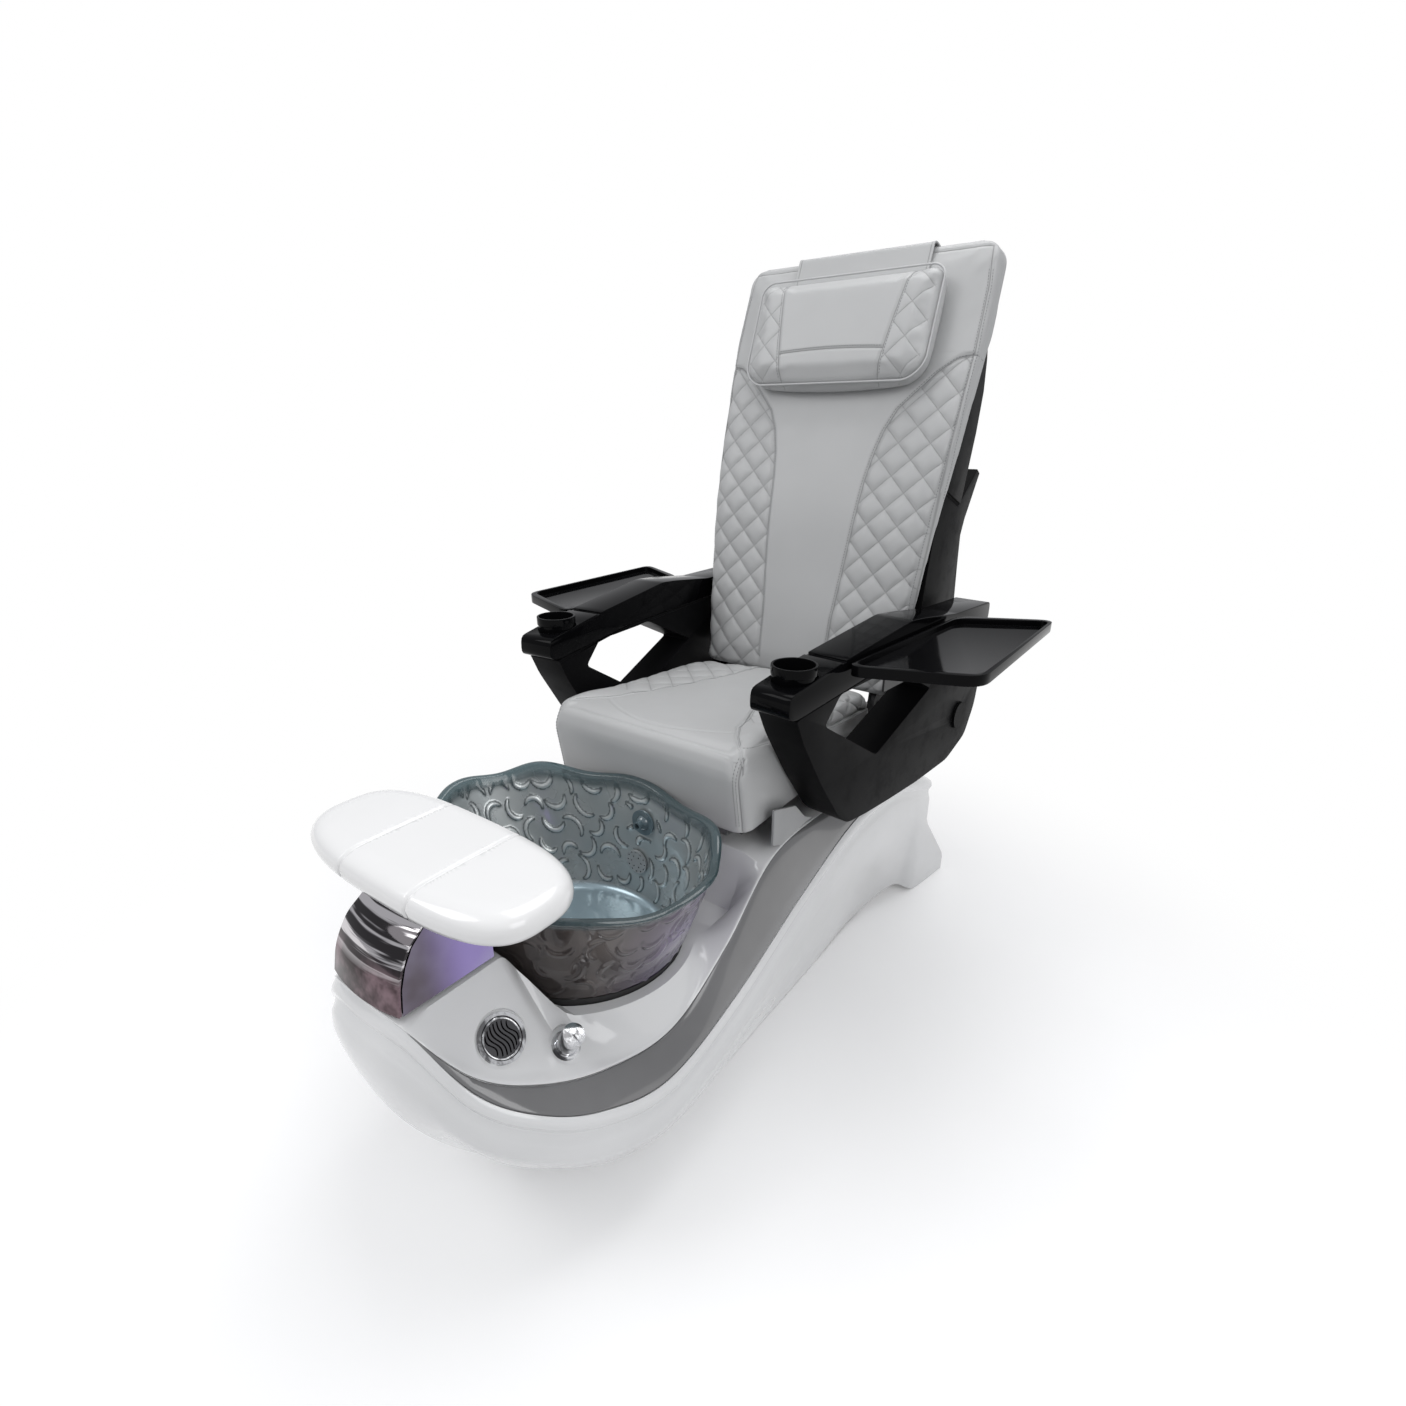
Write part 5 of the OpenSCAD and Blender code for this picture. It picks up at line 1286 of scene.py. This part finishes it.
depth, notes = seat_seams(seat.data)
dented(seat, depth, **notes)
p = coordinates(seat.data)
p[:, 0] = np.clip(p[:, 0], -SEAT_REACH, SEAT_REACH)
p[:, 1] = np.minimum(p[:, 1], 0.347)
p[:, 2] = np.maximum(p[:, 2], SEAT_FOOT)
move_to(seat.data, p)
stands_for(seat, "seat", "vinyl_grey", "seat_cushion")

# %% [markdown]
# ## Stitches and piping of the seat
# Paths beside the seams are dropped onto the swollen skin, and the stitches and the
# piping follow them, so that they lie on the vinyl.

# %% Seat stitches and piping
ys = np.linspace(-0.158, 0.335, 120)
rows, pipes = [], []
for s in (-1, 1):
    strip_line = [(s * (strip_x(y) + 0.0045), y, 0.65) for y in ys[6:]]
    rows.append(laid(seat, strip_line, (0, 0, 1)))
    pipes.append(laid(seat, [(s * strip_x(y), y, 0.65) for y in ys[:34]], (0, 0, 1), 0.0002))
    for gap in (0.004, 0.0085):
        corner_line = [(s * (CORNER_X - gap), SEAT_Y0, z) for z in np.linspace(0.52, 0.64, 30)]
        rows.append(laid(seat, corner_line, (0, -1, 0)))
    side_line = [(s * 0.22, y, np.interp(y, [-0.15, -0.097, 0.151, 0.34], [0.653, 0.645, 0.594, 0.576]))
                 for y in np.linspace(-0.14, 0.33, 100)]
    rows.append(laid(seat, side_line, (s, 0, 0)))
stitched("seat_stitches", rows, "seat")
for name, path in zip(("seat_piping_right", "seat_piping_left"), pipes):
    piping(name, path, 0.0014, "seat")

# %% [markdown]
# ## The back cushion
# The back is a long pad that bends with the sitter's spine. Points on it are given
# by three numbers: x across, s along the curve of its front, and t into its depth.
# The same numbers, read back from any point, place the quilting on the swollen pad.

# %% Curve of the back
BACK = np.array([
    [350, 596], [368, 700], [389, 806], [427, 975], [501, 1194], [560, 1352], [614, 1494]]) / 1000
BACK_T = 0.062
run = np.array([along(BACK, u) for u in np.linspace(0, len(BACK) - 1, 601)])
ends = [run[0] + (run[0] - run[1]) * 60, run[-1] + (run[-1] - run[-2]) * 60]
BACK_RUN = np.vstack([ends[:1], run, ends[1:]])
steps_along = np.linalg.norm(np.diff(BACK_RUN, axis=0), axis=1)
BACK_S = np.concatenate([[0], np.cumsum(steps_along)]) - steps_along[0]
BACK_LEN = BACK_S[-2]
BACK_DIR = np.gradient(BACK_RUN, BACK_S, axis=0)
BACK_DIR /= np.linalg.norm(BACK_DIR, axis=1)[:, None]


def on_back(s):
    """Point and direction, as (y, z), of the front curve at length s."""
    point = np.stack([np.interp(s, BACK_S, BACK_RUN[:, i]) for i in (0, 1)], -1)
    ahead = np.stack([np.interp(s, BACK_S, BACK_DIR[:, i]) for i in (0, 1)], -1)
    return point, ahead


def back_xyz(x, s, t):
    """Points in space from x across, the length s and the depth t."""
    point, ahead = on_back(np.asarray(s, float))
    y, z = point[..., 0] + t * ahead[..., 1], point[..., 1] - t * ahead[..., 0]
    return np.stack(np.broadcast_arrays(x, y, z), -1)


def back_st(p):
    """Length s and depth t of points near the back."""
    s = np.interp(p[:, 2], BACK_RUN[:, 1], BACK_S)
    for _ in range(6):
        point, ahead = on_back(s)
        s = s + ((p[:, 1:] - point) * ahead).sum(1)
    point, ahead = on_back(s)
    off = p[:, 1:] - point
    return s, off[:, 0] * ahead[:, 1] - off[:, 1] * ahead[:, 0]


def facing(s, n):
    """1 where normals look at the sitter, at lengths s along the back, -1 behind."""
    _, ahead = on_back(s)
    return -(n[:, 1] * ahead[:, 1] - n[:, 2] * ahead[:, 0])


def back_w(z):
    """Half width of the back at a height."""
    return 0.24 + 0.056 * np.interp(z, [0.64, 0.732, 0.915, 1.098, 1.327, 1.473],
                                    [0, 0.18, 0.45, 0.75, 1, 0.95])


WIDEST = back_w(1.327)
print("back curve:", round(float(BACK_LEN), 4), "m")


# %% [markdown]
# ## The pad of the back
# The pad is made of loops that stand across its curve. Each is as wide as the back
# is at its height, and they draw in at the head and the foot, so that the corners
# are round before the pad swells.

# %% Back solid
def rounding(away, radius):
    """How far a corner of a radius has pulled in at a distance from its end."""
    return radius - np.sqrt(radius ** 2 - (radius - np.minimum(away, radius)) ** 2)


def slab_ring(w, t0, t1, r, place):
    """Loop across the chair: half width w, depths t0 to t1, corners of radius r."""
    mid, half = (t0 + t1) / 2, (t1 - t0) / 2
    loop = round_rect(w, half, min(r, half * 0.98), 6, 20)
    return place(loop[:, 0], mid + loop[:, 1])


def back_rings(shrink=0.004):
    low, high = shrink, BACK_LEN + 0.001
    stops = low + (high - low) * (0.5 - 0.5 * np.cos(np.linspace(0.06, math.pi - 0.06, 90)))
    rings = []
    for s in stops:
        z = on_back(s)[0][1]
        foot, head = s - low, high - s
        w = back_w(z) - shrink * 0.6 - rounding(head, 0.045) - rounding(foot, 0.02)
        pinch = rounding(min(foot, head), 0.014)
        rings.append(slab_ring(w, 0.0005 + shrink + pinch, BACK_T - 0.001 - pinch, 0.014,
                               lambda x, t: back_xyz(x, s, t)))
    return np.array(rings)


back = piece("back_pad", *skin(back_rings()), vinyl_grey)
swollen(back, 0.0065, 0.005, lambda p: back_st(p)[1] > BACK_T - 0.016)
s, t = back_st(coordinates(back.data))
x = stretched(coordinates(back.data)[:, 0], 0.001 - WIDEST, WIDEST - 0.001)
move_to(back.data, back_xyz(x, stretched(s, 0.002, BACK_LEN + 0.001), t))

# %% [markdown]
# ## Quilting of the back
# A plain panel runs up the middle, narrow at the bottom and wide at the top like a
# vase, between two quilted fields. The distance to its seam is measured to a line of
# short straight steps, with a sign that tells the two sides apart.

# %% Back quilting
VASE = ([0.085, 0.088, 0.097, 0.103, 0.107, 0.112, 0.121, 0.133, 0.153, 0.185, 0.22, 0.258, 0.28, 0.3],
        [0.04, 0.15, 0.248, 0.324, 0.386, 0.45, 0.508, 0.555, 0.599, 0.635, 0.672, 0.7, 0.706, 0.709])
EDGE_W = ([0.243, 0.249, 0.256, 0.262, 0.268, 0.273, 0.277, 0.28, 0.283, 0.281, 0.272],
          [0.0, 0.12, 0.236, 0.316, 0.4, 0.48, 0.56, 0.64, 0.72, 0.84, 0.92])


def vase_line(count):
    """Points (x, s) of the seam between the plain panel and the quilting."""
    return np.stack([np.interp(np.linspace(0, 1, count), np.linspace(0, 1, len(row)), row)
                     for row in VASE], 1)


def vase_distance(x, s):
    """Distance to that seam, positive outside the plain panel."""
    line = vase_line(160)
    best = np.full(len(x), 9.0)
    sign = np.ones(len(x))
    for a, b in zip(line[:-1], line[1:]):
        d = b - a
        f = np.clip(((x - a[0]) * d[0] + (s - a[1]) * d[1]) / (d @ d), 0, 1)
        gap = np.hypot(x - a[0] - d[0] * f, s - a[1] - d[1] * f)
        closer = gap < best
        best = np.where(closer, gap, best)
        sign = np.where(closer, np.sign(d[1] * (x - a[0]) - d[0] * (s - a[1])), sign)
    return best * sign


def back_seams(mesh):
    """The same for the back as seat_seams gives for the seat."""
    p, n = coordinates(mesh), normals(mesh)
    s, t = back_st(p)
    x = abs(p[:, 0])
    front = facing(s, n)
    face = ramp(front, 0.2, 0.6)
    vase = vase_distance(x, s)
    edge = np.interp(s, EDGE_W[1], EDGE_W[0]) - x
    head = BACK_LEN - 0.02 - s
    run_a, run_b = (x + s) / QUILT - 0.25, (x - s) / QUILT + 0.31
    inside = np.minimum(vase, edge)
    field = diamonds(run_a, run_b, 0.021) * arch(np.maximum(inside, 0), 0.008)
    depth = 0.0052 * ramp(inside, 0, 0.002) * (1 - field)
    depth += sewn(vase, 0.003, 0.007) * (s < 0.712)
    border = np.minimum(edge, head)
    depth += sewn(border, 0.0018, 0.005)
    seam_a = np.where((front > 0.1) & (s < 0.711), vase, 0.02)
    seam_b = np.where(front > 0.1, border, 0.02)
    zone = np.where(front > 0.1, inside, -0.02)
    return depth * face, dict(run_a=run_a, run_b=run_b, zone=zone, seam_a=seam_a, seam_b=seam_b)


depth, notes = back_seams(back.data)
dented(back, depth, **notes)
stands_for(back, "backrest", "vinyl_grey", "back_cushion")


# %% [markdown]
# ## Stitches of the back
# A row of stitches runs on each side of the border seam, and one inside the panel's
# seam. The direction in which a path is dropped turns with the curve of the back.

# %% Back stitches
def off_back(p):
    """Direction out of the back's front at a point."""
    _, ahead = on_back(back_st(np.array([p]))[0])
    return 0, -ahead[0][1], ahead[0][0]


rows = []
for side in (-1, 1):
    for gap in (-0.0035, 0.0035):
        line = [back_xyz(side * (np.interp(s, EDGE_W[1], EDGE_W[0]) + gap), s, 0.004)
                for s in np.linspace(0.03, 0.87, 200)]
        rows.append(laid(back, line, off_back))
    line = [back_xyz(side * (x - 0.004), s, 0.004) for x, s in vase_line(150) if x < 0.272]
    rows.append(laid(back, line, off_back))
stitched("back_stitches", rows, "backrest")

# %% [markdown]
# ## The head pillow
# A flat pillow hangs over the top of the back on a wide strap. Two slanting seams
# and one level seam divide it, its outer fields are lightly quilted, and a piping
# runs round its front edge.

# %% Pillow
PILLOW_LOW, PILLOW_HIGH, PILLOW_W, PILLOW_T = 0.68 * BACK_LEN, 0.925 * BACK_LEN, 0.212, 0.056
FOOT_R, HEAD_R = 0.045, 0.03


def pillow_rings(shrink=0.004):
    low, high = PILLOW_LOW + shrink, PILLOW_HIGH - shrink
    rings = []
    for s in low + (high - low) * (0.5 - 0.5 * np.cos(np.linspace(0.1, math.pi - 0.1, 50))):
        foot, head = s - low, high - s
        w = PILLOW_W - shrink - rounding(foot, FOOT_R) - rounding(head, HEAD_R)
        pinch = rounding(min(foot, head), 0.022)
        crown = 0.006 * (1 - (2 * foot / (high - low) - 1) ** 2)
        rings.append(slab_ring(w, -PILLOW_T + 0.001 - crown + pinch, -0.0055 - pinch * 0.3, 0.019,
                               lambda x, t: back_xyz(x, s, t)))
    return np.array(rings)


pillow = piece("pillow_pad", *skin(pillow_rings()), vinyl_grey)
swollen(pillow, 0.0045, 0.006, lambda p: back_st(p)[1] > -0.012)


def sag(x, s):
    """The pillow's lower edge hangs in a shallow bow."""
    up = np.clip((s - PILLOW_LOW) / (PILLOW_HIGH - PILLOW_LOW), 0, 1)
    return s - 0.013 * np.clip(1 - (x / 0.2) ** 2, 0, 1) * (1 - up) ** 1.5


s, t = back_st(coordinates(pillow.data))
x = coordinates(pillow.data)[:, 0]
move_to(pillow.data, back_xyz(x, sag(x, s), t))


def level_seam(x):
    """Length along the back of the pillow's level seam, which is a shallow bow."""
    return 0.7 - 0.004 * (x / 0.11) ** 2


def pillow_seams(mesh):
    """The same for the pillow as seat_seams gives for the seat."""
    p, n = coordinates(mesh), normals(mesh)
    s, t = back_st(p)
    x = abs(p[:, 0])
    front = facing(s, n)
    up = (s - PILLOW_LOW) / (PILLOW_HIGH - PILLOW_LOW)
    slant = x - (0.112 + 0.034 * up)
    level = s - level_seam(x)
    run_a, run_b = (x + s) / QUILT + 0.1, (x - s) / QUILT + 0.15
    inside = np.minimum(slant, 0.198 - x)
    depth = 0.0028 * ramp(inside, 0, 0.006) * (1 - diamonds(run_a, run_b, 0.022))
    depth += sewn(slant, 0.0024, 0.006)
    depth += sewn(level, 0.0024, 0.006) * (slant < 0)
    show = front > 0.3
    return depth * ramp(front, 0.3, 0.7), dict(
        run_a=run_a, run_b=run_b, zone=np.where(show, inside, -0.02),
        seam_a=np.where(show, slant, 0.02), seam_b=np.where(show & (slant < 0), level, 0.02))


depth, notes = pillow_seams(pillow.data)
dented(pillow, depth, **notes)
stands_for(pillow, "pillow", "vinyl_grey", "head_pillow")

# %% [markdown]
# ## Piping and stitches of the pillow
# The piping is a round cord that follows the outline of the pillow's solid, a little
# in from its edge. It isn't dropped onto the swollen skin, so a small gap stays
# under it. One row of stitches runs along each slanting seam and the level one.

# %% Pillow piping and stitches
def pillow_edge(inset, t):
    """Closed path round the pillow, moved in by inset, at the depth t."""
    loop = []
    low, high = PILLOW_LOW + inset, PILLOW_HIGH - inset
    for k in np.linspace(0, 1, 60):
        s = low + (high - low) * (0.5 - 0.5 * math.cos(math.pi * k))
        w = PILLOW_W - inset - rounding(s - low, FOOT_R) - rounding(high - s, HEAD_R)
        loop.append((w, s))
    loop = loop + [(-w, s) for w, s in loop[::-1]]
    return [back_xyz(w, sag(w, s), t) for w, s in loop]


edge = pillow_edge(0.0035, -PILLOW_T + 0.011)
piping("pillow_piping", edge, 0.0021, "pillow", True)
rows = []
for side in (-1, 1):
    line = [back_xyz(side * (0.116 + 0.034 * k), PILLOW_LOW + (PILLOW_HIGH - PILLOW_LOW) * k, -PILLOW_T)
            for k in np.linspace(0.06, 0.94, 60)]
    rows.append(laid(pillow, line, off_back))
line = [back_xyz(x, level_seam(x) + 0.004, -PILLOW_T) for x in np.linspace(-0.114, 0.114, 60)]
rows.append(laid(pillow, line, off_back))
stitched("pillow_stitches", rows, "pillow")

# %% [markdown]
# ## The pillow's strap
# The strap is one flat strip of the same vinyl, sewn to the pillow's top. It lies on
# the back, turns over its upper edge and hangs down behind it. It is modelled as a
# thin folded sheet, because a remesh would erase it.

# %% Strap
STRAP_W = 0.155


def strap_line(t):
    """Middle line of the strap, t off the back: up the front, over the edge and down."""
    fold = BACK_LEN - 0.012
    up = [back_xyz(0, s, -t) for s in np.linspace(PILLOW_HIGH - 0.006, fold, 10)]
    over = [back_xyz(0, fold + (0.0125 + t) * math.sin(q) ** 0.6,
                     BACK_T / 2 - (BACK_T / 2 + t) * math.cos(q))
            for q in np.linspace(0, math.pi, 26)[1:-1]]
    down = [back_xyz(0, s, BACK_T + t) for s in np.linspace(fold, 0.95 * BACK_LEN, 6)]
    return np.array(up + over + down)


def strap_rings():
    """Rings across the strap, with a small bead along both of its edges."""
    x = np.linspace(-1, 1, 41)
    bead = 0.0008 * np.exp(-((1 - abs(x)) * STRAP_W / 0.003) ** 2)
    rings = []
    for outer, inner in zip(strap_line(0.0046), strap_line(0.0026)):
        top = outer + unit(outer - inner) * bead[:, None]
        low = np.tile(inner, (len(x), 1))
        top[:, 0] = low[:, 0] = x * STRAP_W
        rings.append(np.vstack([top, low[::-1]]))
    return rings


strap = piece("pillow_strap_sheet", *skin(strap_rings()), vinyl_grey, 50)
n = len(strap.data.vertices)
note(strap.data, zone=np.full(n, -0.02), seam_a=STRAP_W - 0.006 - abs(coordinates(strap.data)[:, 0]),
     seam_b=np.full(n, 0.02))
stands_for(strap, "pillow", "vinyl_grey", "pillow_strap")

# %% [markdown]
# ## Lines and light
# Three large lamps and a pale world light the chair softly. The floor keeps the
# chair's shadow and fades into white further out, which its material does from the
# distance to the middle, for camera, glossy and transmission rays alike. For all
# other rays it is a darker grey, so that little light comes up from below.

# %% Camera and light
scene = bpy.context.scene
scene.view_settings.view_transform = "Standard"
camera = bpy.data.objects.new("camera", bpy.data.cameras.new("camera"))
scene.collection.objects.link(camera)
scene.camera = camera
camera.location = (0.78, -1.053, 1.138)
azimuth, pitch = math.radians(36.0), math.radians(20.7)
look = Vector((-math.sin(azimuth) * math.cos(pitch), math.cos(azimuth) * math.cos(pitch),
               -math.sin(pitch)))
camera.rotation_euler = look.to_track_quat("-Z", "Y").to_euler()
SENSOR, FOCAL_PIXELS, VIEW_PIXELS = 36, 728, 1406
camera.data.sensor_width = SENSOR
camera.data.lens = SENSOR * FOCAL_PIXELS / VIEW_PIXELS
camera.data.clip_start = 0.02


def lamp(name, place, size, power):
    """A square lamp that looks at the middle of the chair."""
    light = bpy.data.lights.new(name, "AREA")
    light.shape = "RECTANGLE"
    light.size = light.size_y = size
    light.energy = power
    made = bpy.data.objects.new(name, light)
    scene.collection.objects.link(made)
    made.location = place
    aim = Vector((0, 0, 0.6)) - Vector(place)
    made.rotation_euler = aim.to_track_quat("-Z", "Y").to_euler()


lamp("key", (-1.6, -2.2, 3.2), 1.6, 33)
lamp("fill", (2.8, -1.2, 2.2), 1.8, 22)
lamp("top", (0.2, 0.6, 3.6), 2.2, 43)


def seen_rays(f):
    """1 for camera, glossy and transmission rays, 0 for all others."""
    paths = [f.node("LightPath", {}, {}, name)
             for name in ("Is Camera Ray", "Is Glossy Ray", "Is Transmission Ray")]
    return f.node("Clamp", {}, {"Value": paths[0] + paths[1] + paths[2]})


def studio_world():
    """Pale grey light from all round, which the camera sees as white."""
    world = scene.world = bpy.data.worlds.new("studio")
    world.use_nodes = True
    tree = world.node_tree
    path = tree.nodes.new("ShaderNodeLightPath")
    mixer = tree.nodes.new("ShaderNodeMix")
    mixer.data_type = "RGBA"
    mixer.inputs[6].default_value = (0.54, 0.545, 0.56, 1)
    mixer.inputs[7].default_value = (1, 1, 1, 1)
    tree.links.new(path.outputs["Is Camera Ray"], mixer.inputs[0])
    tree.links.new(mixer.outputs[2], tree.nodes["Background"].inputs["Color"])


studio_world()


def studio_floor():
    f = Finish("floor_paper")
    away = f.node("VectorMath", {"operation": "LENGTH"}, {0: f.place}, "Value")
    seen = seen_rays(f)
    fade = f.steps(away, 0.8, 1.5) * seen
    paper = f.mix(f.noise(3, 2), (0.86, 0.86, 0.865), (0.9, 0.9, 0.9))
    paper = f.mix(seen, (0.66, 0.66, 0.66), paper)
    matte = f.shader(Base_Color=paper, Roughness=0.9, Specular_IOR_Level=0.1)
    lift = f.node("Emission", {}, {"Color": (1, 1, 1), "Strength": seen * 0.17})
    lit = f.node("AddShader", {}, {0: matte, 1: lift})
    white = f.node("Emission", {}, {"Color": (1, 1, 1), "Strength": 1.0})
    return f.done(f.node("MixShader", {}, {0: fade, 1: lit, 2: white}))


disc = turned([(20, -0.02), (20, -0.0005)], (0, 0, 0), (0, 0, 1), 64).transpose(1, 0, 2)
piece("floor", *skin(disc), studio_floor())
